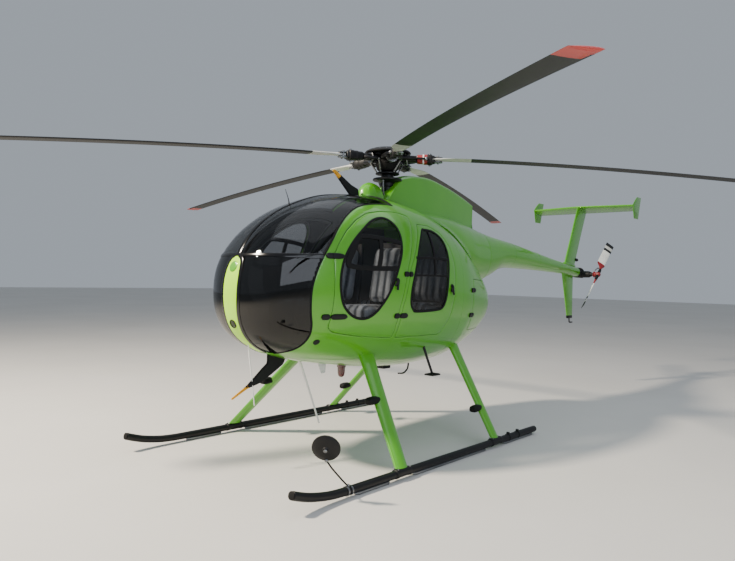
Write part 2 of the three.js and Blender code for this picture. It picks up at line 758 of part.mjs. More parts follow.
const mirrorAt = new THREE.Vector3(1085, -2005, 400);
const mirrorFace = new THREE.Vector3(-0.55, 0.75, 0.35).normalize();
const disc = [[14, 30], [12, 94], [-2, 94], [-16, 60], [-22, 24], [-34, 22]].map(([d, r]) => [
  mirrorAt.clone().addScaledVector(mirrorFace, d).toArray(), r]);
keep("mirror", add(
  rod(disc.map((row) => row[0]), disc.map((row) => row[1]), 20),
  rod([[1092, -1990, 380], [1104, -1880, 130], [1104, -1862, 100]], 8, 8),
  cut(
    box(SKID_X - 42, SKID_X + 42, -1890, -1840, SKID_Z + 4, SKID_Z + 48),
    rod([[SKID_X, -1700, SKID_Z], [SKID_X, -1760, SKID_Z], [SKID_X, -1960, SKID_Z + 8]], SKID_R + 2 * GAP, 12),
  ),
), BLACK);

// Wire cutters, as plates on the centre line
keep("upper_wire_cutter", cut(acrossX([
  [-640, 2380], [-905, 2606], [-868, 2618], [-640, 2500], [-540, 2470], [-520, 2380],
], -8, 8), clear), BLACK);
keep("lower_wire_cutter", cut(acrossX([
  [-1460, 900], [-1760, 1010], [-2020, 612], [-1985, 580], [-1700, 800], [-1480, 830],
], -8, 8), clear), BLACK);

keep("cargo_hook_pad", cut(box(-60, 60, MAST_Y - 60, MAST_Y + 60, DATUM.z, 760), clear), BLACK);

// The assembly: one group for each body that moves
const helicopter = new THREE.Group();
helicopter.name = "helicopter";
const groups = {};
for (const { name, body, finish, owner } of parts) {
  const [color, metalness, roughness] = finish;
  const material = new THREE.MeshStandardMaterial({ color, metalness, roughness });
  const mesh = new THREE.Mesh(toGeometry(body), material);
  mesh.name = name;
  if (!groups[owner]) {
    groups[owner] = new THREE.Group();
    groups[owner].name = owner;
    groups[owner].position.copy(DATUM).negate();
    helicopter.add(groups[owner]);
  }
  groups[owner].add(mesh);
}

export default helicopter;
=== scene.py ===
"""Looks of a light five-blade helicopter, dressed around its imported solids.

Numbers are metres on the aircraft's own stations: x to its left, y towards the tail, z up from the
ground. DATUM is the cargo hook pad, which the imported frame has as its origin.
"""

import json
import logging
import math
from collections.abc import Callable, Sequence
from dataclasses import dataclass, field
from enum import Enum

import bmesh
import bpy
import numpy as np
from mathutils import Matrix, Vector
from mathutils.geometry import delaunay_2d_cdt


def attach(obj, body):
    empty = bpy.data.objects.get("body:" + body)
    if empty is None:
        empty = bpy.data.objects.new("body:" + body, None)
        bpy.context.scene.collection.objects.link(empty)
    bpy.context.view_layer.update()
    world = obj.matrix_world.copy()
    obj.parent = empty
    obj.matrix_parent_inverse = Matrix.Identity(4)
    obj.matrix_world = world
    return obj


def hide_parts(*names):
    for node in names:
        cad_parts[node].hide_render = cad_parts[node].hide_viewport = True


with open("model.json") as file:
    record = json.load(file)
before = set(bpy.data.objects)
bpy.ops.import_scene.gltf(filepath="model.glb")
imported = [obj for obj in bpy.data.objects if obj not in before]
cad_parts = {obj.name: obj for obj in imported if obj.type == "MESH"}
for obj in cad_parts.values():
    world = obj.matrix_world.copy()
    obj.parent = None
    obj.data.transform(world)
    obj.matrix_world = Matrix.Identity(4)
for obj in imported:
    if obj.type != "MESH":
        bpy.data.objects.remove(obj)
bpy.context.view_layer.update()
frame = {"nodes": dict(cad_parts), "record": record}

log = logging.getLogger("helicopter")

DATUM = np.array([0.0, -0.100, 0.680])
PHOTO_WIDTH = 735.0
SENSOR_MM = 36.0
MM_PER_M = 1000.0
AIRFRAME = "airframe"
LEFTWARD, AFT, UPWARD = (1, 0, 0), (0, 1, 0), (0, 0, 1)
MIRRORED = np.array([-1.0, 1.0, 1.0])
FOIL_CORNERS = 30
# Distances at which the tail blades change colour.
TAIL_BANDS = (0.235, 0.520, 0.570, 0.630)
Outline = Sequence[tuple[float, float]]
Spot = tuple[float, float, float]
# Half width and line.
Bar = tuple[float, Outline]
Array = np.ndarray
Number = Array | float
Place = Callable[[Number, Number, Number], Array]


class Side(Enum):
    """A side of the aircraft: its name and the sign of x there."""

    LEFT = ("left", 1.0)
    RIGHT = ("right", -1.0)

    @property
    def label(self) -> str:
        """The side's name in node and body names."""
        return self.value[0]

    @property
    def sign(self) -> float:
        """The sign of x on this side."""
        return self.value[1]


class Slot(Enum):
    """The record's material slots."""

    GREEN = "green_paint"
    BLACK = "black_satin"
    GLAZING = "smoked_glazing"
    STEEL = "dull_steel"
    CLOTH = "upholstery"
    PALE = "pale_paint"


# Finishes


def linear(code: str) -> tuple[float, float, float, float]:
    """An sRGB hex colour as linear light.

    Args:
        code: Six hex digits, with or without a hash.

    Returns:
        Red, green, blue and an alpha of one.
    """
    raw = np.array([int(code.lstrip("#")[k:k + 2], 16) for k in (0, 2, 4)]) / 255.0
    low = raw / 12.92
    high = ((raw + 0.055) / 1.055) ** 2.4
    return (*np.where(raw <= 0.04045, low, high).tolist(), 1.0)


def add_node(
    tree: bpy.types.NodeTree,
    kind: str,
    settings: dict[str, object] | None = None,
    links: dict[str, bpy.types.NodeSocket] | None = None,
) -> bpy.types.Node:
    """Adds one shader node with its settings and its incoming links.

    Args:
        tree: The material's node tree.
        kind: Blender's name for the node's type.
        settings: Values by name: a property of the node, or an input socket.
        links: Sockets of other nodes by the name of this node's input.

    Returns:
        The new node.
    """
    node = tree.nodes.new(kind)
    for name, value in (settings or {}).items():
        if name in node.inputs:
            node.inputs[name].default_value = value
        elif name.startswith("in_"):
            node.inputs[int(name[3:])].default_value = value
        else:
            setattr(node, name, value)
    for name, socket in (links or {}).items():
        target = node.inputs[int(name[3:])] if name.startswith("in_") else node.inputs[name]
        tree.links.new(socket, target)
    return node


@dataclass(frozen=True)
class Finish:
    """A painted, moulded or machined surface with grain, soft shading of its colour and wear.

    colour and the second colour after it are the two ends of a slow drift in the paint; drift_mm is that
    drift's size. In a pleated cloth the second colour is also painted shade in the hollows of the folds.
    grain_mm is the size of the fine relief (orange peel, powder coat, brushed lines), drawn
    coarser than life where life would not show in the render.
    """

    name: str
    colour: str
    worn: str
    roughness: float
    metallic: float = 0.0
    coat: float = 0.0
    drift_mm: float = 400.0
    grain_mm: float = 6.0
    grain: float = 0.02
    rough_drift: float = 0.08
    alpha: float = 1.0
    sheen: float = 0.0
    ior: float = 1.5
    stretch: Spot = (1.0, 1.0, 1.0)
    pleat_mm: float = 0.0

    def material(self) -> bpy.types.Material:
        """Builds the material, or gives the one already made.

        Returns:
            The material.
        """
        made = bpy.data.materials.get(self.name)
        if made:
            return made
        made = bpy.data.materials.new(self.name)
        made.use_nodes = True
        tree = made.node_tree
        tree.nodes.clear()
        place = add_node(tree, "ShaderNodeTexCoord").outputs["Object"]
        stretched = add_node(tree, "ShaderNodeMapping", {"Scale": self.stretch}, {"Vector": place})
        drift = add_node(
            tree, "ShaderNodeTexNoise",
            {"Scale": MM_PER_M / self.drift_mm, "Detail": 5.0, "Roughness": 0.6}, {"Vector": place},
        ).outputs["Fac"]
        blend = add_node(
            tree, "ShaderNodeMix",
            {"data_type": "RGBA", "in_6": linear(self.colour), "in_7": linear(self.worn)},
            {"in_0": self.ramp(tree, drift, 0.35, 0.75)},
        )
        rough = add_node(
            tree, "ShaderNodeMapRange",
            {"To Min": max(self.roughness - self.rough_drift / 2, 0.02),
             "To Max": self.roughness + self.rough_drift},
            {"Value": drift},
        )
        grain = add_node(
            tree, "ShaderNodeTexNoise", {"Scale": MM_PER_M / self.grain_mm, "Detail": 2.0},
            {"Vector": stretched.outputs["Vector"]},
        )
        bump = add_node(
            tree, "ShaderNodeBump", {"Strength": self.grain, "Distance": self.grain_mm / MM_PER_M / 4},
            {"Height": grain.outputs["Fac"]},
        )
        colour, normal = blend.outputs[2], bump.outputs["Normal"]
        if self.pleat_mm:
            colour, normal = self.pleats(tree, place, colour, normal)
        shader = add_node(
            tree, "ShaderNodeBsdfPrincipled",
            {"Metallic": self.metallic, "Coat Weight": self.coat, "Coat Roughness": 0.05,
             "Alpha": self.alpha, "Sheen Weight": self.sheen, "IOR": self.ior},
            {"Base Color": colour, "Roughness": rough.outputs["Result"], "Normal": normal},
        )
        add_node(tree, "ShaderNodeOutputMaterial", links={"Surface": shader.outputs["BSDF"]})
        return made

    def pleats(
        self, tree: bpy.types.NodeTree, place: bpy.types.NodeSocket, colour: bpy.types.NodeSocket,
        normal: bpy.types.NodeSocket,
    ) -> tuple[bpy.types.NodeSocket, bpy.types.NodeSocket]:
        """Sews upright pleats into a cloth: soft ridges, with painted shade darkening the hollows between
        them.

        Args:
            tree: The material's node tree.
            place: Object coordinates.
            colour: The plain cloth's colour.
            normal: The plain cloth's normal.

        Returns:
            The pleated colour and normal.
        """
        # A band texture's lines stand pi / 10 apart at scale one.
        bands = add_node(
            tree, "ShaderNodeTexWave",
            {"bands_direction": "X", "Scale": math.pi / 10 * MM_PER_M / self.pleat_mm}, {"Vector": place},
        ).outputs["Fac"]
        fold = add_node(
            tree, "ShaderNodeBump", {"Strength": 0.9, "Distance": self.pleat_mm / MM_PER_M / 9},
            {"Height": bands, "Normal": normal},
        )
        # Painted shade: the hollows between the folds are mixed towards the dark second colour.
        seam = add_node(
            tree, "ShaderNodeMix", {"data_type": "RGBA", "in_6": linear(self.worn)},
            {"in_0": self.ramp(tree, bands, 0.05, 0.6), "in_7": colour},
        )
        return seam.outputs[2], fold.outputs["Normal"]

    @staticmethod
    def ramp(
        tree: bpy.types.NodeTree, value: bpy.types.NodeSocket, low: float, high: float
    ) -> bpy.types.NodeSocket:
        """Stretches a value so that low gives zero and high gives one.

        Args:
            tree: The material's node tree.
            value: The socket to stretch.
            low: The value that becomes zero.
            high: The value that becomes one.

        Returns:
            The stretched socket.
        """
        node = add_node(tree, "ShaderNodeMapRange", {"From Min": low, "From Max": high}, {"Value": value})
        return node.outputs["Result"]


# Two-pack aircraft enamel, sprayed and clear coated: a deep even green with a wet shine.
GREEN = Finish("lime_aircraft_enamel", "#499A07", "#54A40C", 0.30, coat=0.7, drift_mm=900,
               grain_mm=7, grain=0.015)
# The same enamel, painted lighter where the light on it is brighter, as on the nose strip: a painted
# highlight.
SUNLIT_GREEN = Finish("bright_lime_enamel", "#B4F400", "#AAEC00", 0.32, coat=0.25)
# Powder-coated steel and alloy: satin black with a fine pebble.
BLACK = Finish("black_powder_coat", "#08090A", "#111214", 0.45, grain_mm=5, grain=0.06,
               rough_drift=0.15, ior=1.38)
# Moulded rubber seals: black and dull.
RUBBER = Finish("black_rubber_seal", "#060607", "#0B0B0C", 0.65, grain_mm=4, grain=0.05, ior=1.34)
# Cast acrylic, tinted smoke: glossy and nearly black against a dark cabin.
SMOKE = Finish("smoke_tinted_acrylic", "#040506", "#050607", 0.03, alpha=0.86, grain=0.0, rough_drift=0.01,
               ior=1.49)
# The same acrylic overhead, with less tint: sky and cabin show through it.
ROOF_SMOKE = Finish("roof_tinted_acrylic", "#07090C", "#080A0D", 0.03, alpha=0.42, grain=0.0,
                    rough_drift=0.01, ior=1.49)
# Thinner tinted acrylic of the door windows: the cabin shows through it.
PALE_SMOKE = Finish("light_tinted_acrylic", "#0E1216", "#101418", 0.03, alpha=0.22, grain=0.0,
                    rough_drift=0.01, ior=1.49)
# Zinc-plated and machined steel: grey with a soft brushed shine.
STEEL = Finish("machined_steel", "#8C8E90", "#6E7073", 0.35, metallic=1.0, grain_mm=3, grain=0.08,
               stretch=(1.0, 1.0, 6.0))
# Black gloss enamel of the canopy's bars.
BAR = Finish("black_gloss_enamel", "#030304", "#060607", 0.16, grain=0.0, rough_drift=0.02)
# Dark hard-anodised alloy of the rotor head.
ANODISED = Finish("dark_anodised_alloy", "#141517", "#202124", 0.42, metallic=0.6, grain_mm=4, grain=0.06)
# Heat-tinted exhaust sheet.
EXHAUST = Finish("heat_tinted_steel", "#4A4038", "#2C2826", 0.5, metallic=0.9, drift_mm=60, grain_mm=3,
                 grain=0.1)
# Enamel of the blades' roots: light grey, slightly soiled.
GREY = Finish("pale_grey_enamel", "#C9CBC8", "#A9ABA8", 0.4, drift_mm=120)
WHITE = Finish("white_enamel", "#E4E5E2", "#CFD0CC", 0.35, drift_mm=200)
# Blade paint: flat black that dust has dulled.
BLADE = Finish("matt_blade_paint", "#0B0C0D", "#151617", 0.5, drift_mm=300, grain_mm=5, grain=0.05)
RED = Finish("red_tip_enamel", "#B3271C", "#9A2319", 0.4, coat=0.3, drift_mm=200)
MAROON = Finish("maroon_enamel", "#8E1C22", "#70161A", 0.4, drift_mm=100)
YELLOW = Finish("yellow_enamel", "#E8A91C", "#D0921A", 0.4, drift_mm=100)
# Woven seat cloth: pale grey, sewn in upright pleats, with a soft bloom at grazing angles; the dark second
# colour also paints shade into the pleats' hollows.
CLOTH = Finish("pleated_grey_seat_cloth", "#C3CBD6", "#3E4650", 0.85, sheen=0.3, drift_mm=300, grain_mm=3,
               grain=0.12, pleat_mm=85)
# Moulded cabin trim: dark grey ABS.
TRIM = Finish("charcoal_cabin_trim", "#24262A", "#2C2E33", 0.6, grain_mm=3, grain=0.15)
# Light trim of the cabin's ceiling.
LINING = Finish("grey_headlining", "#5E6062", "#6A6C6E", 0.8, grain_mm=3, grain=0.2)
GLASS = Finish("clear_lamp_glass", "#DDE3E6", "#D4DADD", 0.05, alpha=0.5, coat=1.0, grain=0.0)
MIRROR = Finish("silvered_glass", "#E6E8EA", "#DDDFE1", 0.03, metallic=1.0, grain=0.0)
BEACON = Finish("dark_red_lens", "#5E0C10", "#4A0A0D", 0.1, coat=1.0, grain=0.0)
FLOOR = Finish("pale_studio_floor", "#CFCDC8", "#C8C6C1", 0.75, drift_mm=3000, grain_mm=20, grain=0.01)

SLOT_OF = {finish.name: slot for slot, group in (
    (Slot.GREEN, (GREEN, SUNLIT_GREEN)), (Slot.GLAZING, (SMOKE, PALE_SMOKE, ROOF_SMOKE, GLASS)),
    (Slot.STEEL, (STEEL, EXHAUST, MIRROR, ANODISED)), (Slot.CLOTH, (CLOTH,)), (Slot.PALE, (GREY, WHITE)),
) for finish in group}


# Mesh tools


def turns(count: int) -> Array:
    """Even turns round a circle, starting at zero."""
    return np.linspace(0, 2 * np.pi, count, endpoint=False)


def circle(count: int) -> Array:
    """Points round a circle of radius one, as cosine and sine."""
    return np.stack([np.cos(turns(count)), np.sin(turns(count))], -1)


def signed_power(value: Array, power: float) -> Array:
    """Values whose size is raised to a power while their sign stays."""
    return np.sign(value) * np.abs(value) ** power


def spots(x: Number, y: Number, z: Number) -> Array:
    """Points whose coordinates are spread over one common grid."""
    return np.stack(np.broadcast_arrays(x, y, z), -1)


def units(vectors: Array) -> Array:
    """Vectors, one to a row, brought to length one."""
    return vectors / np.linalg.norm(vectors, axis=-1)[..., None]


@dataclass
class Surface:
    """Points, quads and triangles of one piece, with a finish number for each face."""

    points: Array = field(default_factory=lambda: np.zeros((0, 3)))
    quads: Array = field(default_factory=lambda: np.zeros((0, 4), int))
    tris: Array = field(default_factory=lambda: np.zeros((0, 3), int))
    quad_finish: Array = field(default_factory=lambda: np.zeros(0, int))
    tri_finish: Array = field(default_factory=lambda: np.zeros(0, int))

    def join(self, other: "Surface", finish: int = 0) -> "Surface":
        """Adds another surface's faces to this one.

        Args:
            other: The surface to add.
            finish: A number added to the other's finish numbers.

        Returns:
            This surface.
        """
        base = len(self.points)
        self.points = np.concatenate([self.points, other.points])
        self.quads = np.concatenate([self.quads, other.quads + base])
        self.tris = np.concatenate([self.tris, other.tris + base])
        self.quad_finish = np.concatenate([self.quad_finish, other.finishes(4) + finish])
        self.tri_finish = np.concatenate([self.tri_finish, other.finishes(3) + finish])
        return self

    def finishes(self, corners: int) -> Array:
        """The finish numbers of the quads or triangles, zero where none was given."""
        faces, given = (self.quads, self.quad_finish) if corners == 4 else (self.tris, self.tri_finish)
        return given if len(given) == len(faces) else np.zeros(len(faces), int)

    def mirrored(self) -> "Surface":
        """The same surface on the other side of the aircraft, faces still outwards.

        Returns:
            A new surface.
        """
        return Surface(
            self.points * MIRRORED, self.quads[:, ::-1], self.tris[:, ::-1],
            self.finishes(4), self.finishes(3),
        )

    def on(self, side: Side) -> "Surface":
        """This surface, made for the left, on the side asked for."""
        return self if side is Side.LEFT else self.mirrored()

    def outward(self) -> "Surface":
        """Turns every face round if the surface's signed volume is below zero.

        Returns:
            This surface.
        """
        tris = np.concatenate([self.quads[:, [0, 1, 2]], self.quads[:, [0, 2, 3]], self.tris])
        a, b, c = (self.points[tris[:, k]] for k in range(3))
        if np.einsum("ij,ij->i", a, np.cross(b, c)).sum() < 0:
            self.quads = self.quads[:, ::-1]
            self.tris = self.tris[:, ::-1]
        return self


def piece(
    name: str,
    surface: Surface,
    finishes: Finish | Sequence[Finish],
    replaces: Sequence[str] = (),
    body: str = AIRFRAME,
    sharp: float = 32.0,
    bevel: float = 0.0,
    weld: float = 0.0,
) -> bpy.types.Object:
    """Puts a surface into Blender as one finished piece that rides on a body.

    Args:
        name: The piece's name.
        surface: Its points and faces, in station metres.
        finishes: One finish, or the list that the faces' numbers point into.
        replaces: CAD nodes that it stands for.
        body: The CAD body it rides on.
        sharp: Edges steeper than this angle, in degrees, stay crisp.
        bevel: Width of a rounded edge in metres, or zero.
        weld: Distance in metres under which points are merged, or zero.

    Returns:
        The new object.
    """
    mesh = bpy.data.meshes.new(name)
    corners = np.concatenate([surface.quads.ravel(), surface.tris.ravel()])
    starts = np.concatenate([
        np.arange(len(surface.quads)) * 4,
        len(surface.quads) * 4 + np.arange(len(surface.tris)) * 3,
    ])
    coats = [finishes] if isinstance(finishes, Finish) else finishes
    for finish in coats:
        mesh.materials.append(finish.material())
    mesh.vertices.add(len(surface.points))
    mesh.vertices.foreach_set("co", (surface.points - DATUM).astype(np.float32).ravel())
    mesh.loops.add(len(corners))
    mesh.loops.foreach_set("vertex_index", corners.astype(np.int32))
    mesh.polygons.add(len(starts))
    mesh.polygons.foreach_set("loop_start", starts.astype(np.int32))
    mesh.polygons.foreach_set(
        "material_index", np.concatenate([surface.finishes(4), surface.finishes(3)]).astype(np.int32)
    )
    mesh.update(calc_edges=True)
    mesh.validate()
    obj = bpy.data.objects.new(name, mesh)
    bpy.context.scene.collection.objects.link(obj)
    if weld:
        merge(obj, weld)
    mesh.shade_smooth()
    mesh.set_sharp_from_angle(angle=math.radians(sharp))
    if bevel:
        rounding = obj.modifiers.new("rounded edges", "BEVEL")
        rounding.width = bevel
        rounding.segments = 2
        rounding.limit_method = "ANGLE"
        rounding.angle_limit = math.radians(30)
        rounding.harden_normals = True
    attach(obj, body)
    if replaces:
        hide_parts(*replaces)
    return obj


def pair(name: str, surface: Surface, finishes: Finish | Sequence[Finish], replaces: Sequence[str] = (),
         **shading: float) -> None:
    """Puts a surface made for the left, and its mirror image, into Blender as two pieces.

    Args:
        name: The pieces' name, with a star where the side's name goes.
        surface: The left one's points and faces.
        finishes: As in piece.
        replaces: CAD nodes that they stand for, with a star in the same way.
        shading: Values for sharp or bevel in piece.
    """
    for side in Side:
        nodes = [node.replace("*", side.label) for node in replaces]
        piece(name.replace("*", side.label), surface.on(side), finishes, nodes, **shading)


def merge(obj: bpy.types.Object, distance: float) -> None:
    """Merges points that lie within a distance of each other.

    Args:
        obj: The mesh object.
        distance: The distance in metres.
    """
    work = bmesh.new()
    work.from_mesh(obj.data)
    bmesh.ops.remove_doubles(work, verts=work.verts, dist=distance)
    bmesh.ops.dissolve_degenerate(work, edges=work.edges, dist=distance / 4)
    work.to_mesh(obj.data)
    work.free()
    obj.data.update()


def rings_surface(rings: Array) -> Surface:
    """A closed body through rings of points: quads between rings, a fan of triangles at each end.

    Args:
        rings: Points as ring by corner by coordinate.

    Returns:
        The surface, faces outwards.
    """
    count, sides = rings.shape[:2]
    index = np.arange(count * sides).reshape(count, sides)
    after = np.roll(index, -1, axis=1)
    quads = np.stack([index[:-1], after[:-1], after[1:], index[1:]], -1).reshape(-1, 4)
    points = np.concatenate([rings.reshape(-1, 3), rings[[0, -1]].mean(1)])
    pole = np.full(sides, count * sides)
    first = np.stack([after[0], index[0], pole], -1)
    last = np.stack([index[-1], after[-1], pole + 1], -1)
    return Surface(points, quads, np.concatenate([first, last])).outward()


def frames_along(path: Array) -> tuple[Array, Array, Array]:
    """Directions along a path, each next frame turned as little as can be from the last.

    Args:
        path: Points of the path.

    Returns:
        The unit tangents and two unit normals at each point.
    """
    tangent = units(np.gradient(path, axis=0))
    side = np.zeros_like(path)
    previous = np.array(LEFTWARD if abs(tangent[0, 0]) < 0.9 else AFT, float)
    for k, along in enumerate(tangent):
        previous = previous - along * (previous @ along)
        previous = previous / np.linalg.norm(previous)
        side[k] = previous
    return tangent, side, np.cross(tangent, side)


def tube(path: Sequence[Sequence[float]], radius: float | Sequence[float], sides: int = 16,
         steps: int = 0) -> Surface:
    """A round bar along a path: a circle of the given radius carried square to the path.

    Each end is rounded over: four rings set back by shares of a third of the radius, which grow
    from just over half the radius to the whole.

    Args:
        path: Points of the path.
        radius: One radius, or one for each point.
        sides: Corners of the circle.
        steps: Points that a smooth curve through the path is resampled to, or zero.

    Returns:
        The closed surface.
    """
    line = np.array(path, float)
    sizes = np.full(len(line), radius, float) if np.isscalar(radius) else np.array(radius, float)
    if steps:
        at = np.linspace(0, len(line) - 1, steps)
        sizes = np.interp(at, np.arange(len(line)), sizes)
        line = curve_through(line, at)
    tangent, side, up = frames_along(line)
    lift = np.array([0.0, 0.5, 0.8, 0.95])
    shrink = 0.55 + 0.45 * np.sqrt(1 - (1 - lift) ** 2)
    head = line[0] + tangent[0] * lift[:, None] * sizes[0] * 0.35
    tail = line[-1] - tangent[-1] * lift[::-1, None] * sizes[-1] * 0.35
    inner = np.arange(1, len(line) - 1)
    ring = np.concatenate([np.zeros(4, int), inner, np.full(4, len(line) - 1)])
    line = np.concatenate([head, line[inner], tail])
    sizes = sizes[ring] * np.concatenate([shrink, np.ones(len(inner)), shrink[::-1]])
    turn = turns(sides)[None, :, None]
    circle = np.cos(turn) * side[ring][:, None] + np.sin(turn) * up[ring][:, None]
    return rings_surface(line[:, None] + circle * sizes[:, None, None])


def curve_through(points: Array, at: Array) -> Array:
    """A smooth curve through points: on each span a cubic whose slopes are half the chord across.

    Args:
        points: The points to pass through.
        at: Places along it, counted in points.

    Returns:
        The curve's points at those places.
    """
    span = np.clip(at.astype(int), 0, len(points) - 2)
    t = (at - span)[:, None]
    padded = np.concatenate([[2 * points[0] - points[1]], points, [2 * points[-1] - points[-2]]])
    a, b, c, d = (padded[span + k] for k in range(4))
    return 0.5 * (2 * b + (c - a) * t + (2 * a - 5 * b + 4 * c - d) * t**2 + (3 * b - a - 3 * c + d) * t**3)


def curve(corners: Outline, count: int) -> Array:
    """A smooth open curve through the corners, as a number of points."""
    return curve_through(np.array(corners, float), np.linspace(0, len(corners) - 1, count))


def turned(profile: Sequence[tuple[float, float]], centre: Sequence[float],
           axis: Sequence[float] = UPWARD, sides: int = 40) -> Surface:
    """A turned body: each row of the profile is a radius and a height along the axis.

    Args:
        profile: Radius and height of each ring.
        centre: The point at height zero.
        axis: The direction of the axis.
        sides: Corners of each ring.

    Returns:
        The closed surface.
    """
    rows = np.array(profile, float)
    along = np.array(axis, float) / np.linalg.norm(axis)
    side = units(np.cross(along, UPWARD if abs(along[2]) < 0.9 else AFT))
    up = np.cross(along, side)
    turn = turns(sides)[:, None]
    radius, height = rows.T[:, :, None, None]
    return rings_surface(
        np.array(centre) + height * along + radius * (np.cos(turn) * side + np.sin(turn) * up)
    )


def block(low: Sequence[float], high: Sequence[float]) -> Surface:
    """A rectangular block between two corners, whose edges a bevel then rounds.

    Args:
        low: Its lowest corner.
        high: Its highest corner.

    Returns:
        The closed surface.
    """
    x, y, z = zip(low, high)
    ring = [[[a, b, c] for a, b in ((x[0], y[0]), (x[1], y[0]), (x[1], y[1]), (x[0], y[1]))] for c in z]
    points = np.array(ring, float).reshape(-1, 3)
    quads = np.array([[3, 2, 1, 0], [4, 5, 6, 7], [0, 1, 5, 4], [1, 2, 6, 5], [2, 3, 7, 6], [3, 0, 4, 7]])
    return Surface(points, quads)


def plate(outline: Outline, place: Callable[[Array, float], Array], low: float, high: float) -> Surface:
    """A flat plate: an outline filled with triangles on two faces and walled round its rim.

    Args:
        outline: The plate's outline in its own plane.
        place: Gives points in space from outline points and a depth.
        low: Depth of the first face.
        high: Depth of the second face.

    Returns:
        The closed surface.
    """
    flat = np.array(outline, float)
    made = delaunay_2d_cdt([Vector(p) for p in flat.tolist()], [], [list(range(len(flat)))], 1, 1e-6)
    flat, tris = np.array([v[:] for v in made[0]]), np.array(made[2])
    edges, size = open_edges(tris), len(flat)
    a, b = edges.T
    points = np.concatenate([place(flat, low), place(flat, high)])
    quads = np.stack([b, a, a + size, b + size], -1)
    return Surface(points, quads, np.concatenate([tris, tris[:, ::-1] + size])).outward()


def open_edges(tris: Array) -> Array:
    """Edges that only one triangle has, each in that triangle's direction.

    Args:
        tris: Triangles as rows of point numbers.

    Returns:
        The edges as pairs of point numbers.
    """
    halves = np.concatenate([tris[:, [0, 1]], tris[:, [1, 2]], tris[:, [2, 0]]])
    size = int(tris.max()) + 1
    return halves[~np.isin(halves[:, 0] * size + halves[:, 1], halves[:, 1] * size + halves[:, 0])]


def flowing(outline: Outline) -> Array:
    """A smooth closed curve through an outline's corners, eight points to a side.

    Args:
        outline: The corners.

    Returns:
        The curve's points.
    """
    corners = np.array(outline, float)
    wrapped = np.concatenate([corners[-2:], corners, corners[:3]])
    return curve_through(wrapped, np.arange(2, len(corners) + 2, 0.125))


def softened(outline: Outline, reach: float = 0.05) -> Array:
    """A closed outline with rounded corners: each of three rounds cuts them at quarters of a side.

    Args:
        outline: The corners.
        reach: Spacing of the points that the rounds start from.

    Returns:
        The rounded outline.
    """
    line = spaced(np.array(outline, float), reach)
    for _ in range(3):
        after = np.roll(line, -1, axis=0)
        line = np.stack([0.75 * line + 0.25 * after, 0.25 * line + 0.75 * after], 1).reshape(-1, 2)
    return line


def spaced(line: Array, step: float, closed: bool = True) -> Array:
    """Points along a line at an even spacing.

    Args:
        line: The line's points.
        step: The spacing wanted.
        closed: Whether the last point joins the first.

    Returns:
        The evenly spaced points.
    """
    loop = np.concatenate([line, line[:1]]) if closed else line
    length = np.concatenate([[0.0], np.cumsum(np.linalg.norm(np.diff(loop, axis=0), axis=1))])
    count = max(int(round(length[-1] / step)), 4)
    at = np.linspace(0, length[-1], count, endpoint=not closed)
    return np.stack([np.interp(at, length, loop[:, k]) for k in range(loop.shape[1])], -1)


def inset(outline: Array, distance: float) -> Array:
    """Draws a closed outline in by a distance, or out where the distance is below zero.

    Args:
        outline: The outline.
        distance: How far each point moves inwards, square to the line.

    Returns:
        The moved outline.
    """
    area = (outline[:, 0] * np.roll(outline[:, 1], -1) - np.roll(outline[:, 0], -1) * outline[:, 1]).sum()
    ahead = np.roll(outline, -1, axis=0) - outline
    ahead /= np.maximum(np.linalg.norm(ahead, axis=1), 1e-12)[:, None]
    normal = np.stack([-ahead[:, 1], ahead[:, 0]], -1) * np.sign(area)
    before = np.roll(normal, 1, axis=0)
    return outline + (normal + before) * (distance / np.maximum(1 + (normal * before).sum(1), 0.3))[:, None]


def within(points: Array, outline: Array) -> Array:
    """Says which points lie in a closed outline, by counting the sides that a ray crosses.

    Args:
        points: The points to test.
        outline: The closed outline.

    Returns:
        True for each point inside.
    """
    a, b = outline, np.roll(outline, -1, axis=0)
    x, y = points[:, 0:1], points[:, 1:2]
    spans = (a[:, 1] > y) != (b[:, 1] > y)
    rise = np.where(b[:, 1] == a[:, 1], 1e-12, b[:, 1] - a[:, 1])
    crossing = a[:, 0] + (y - a[:, 1]) * (b[:, 0] - a[:, 0]) / rise
    return ((spans & (x < crossing)).sum(1) % 2).astype(bool)


def smooth_values(xs: Array, ys: Array) -> Callable[[Array], Array]:
    """Smooth values between stations without overshoot: cubic spans with harmonic mean slopes.

    Args:
        xs: Places of the stations.
        ys: Their values.

    Returns:
        A function of place.
    """
    chord = np.diff(ys) / np.diff(xs)
    slope = np.zeros(len(ys))
    slope[0], slope[-1] = chord[0], chord[-1]
    product = chord[:-1] * chord[1:]
    total = np.where(product > 0, chord[:-1] + chord[1:], 1.0)
    slope[1:-1] = np.where(product > 0, 2 * product / total, 0.0)

    def value(x: Array) -> Array:
        """The smooth value at each place.

        Args:
            x: The places.

        Returns:
            The values.
        """
        x = np.asarray(x, float)
        k = np.clip(np.searchsorted(xs, x) - 1, 0, len(xs) - 2)
        h = xs[k + 1] - xs[k]
        t = (x - xs[k]) / h
        s = 1 - t
        return (s * s * (1 + 2 * t) * ys[k] + t * t * (3 - 2 * t) * ys[k + 1]
                + h * t * s * (s * slope[k] - t * slope[k + 1]))

    return value


def smooth_rows(rows: Array, at: Array) -> list[Array]:
    """Smooth values of a table's columns at places that its first column counts."""
    return [smooth_values(rows[:, 0], column)(at) for column in rows.T[1:]]


# The hull's surface, shared by shell, doors and glazing


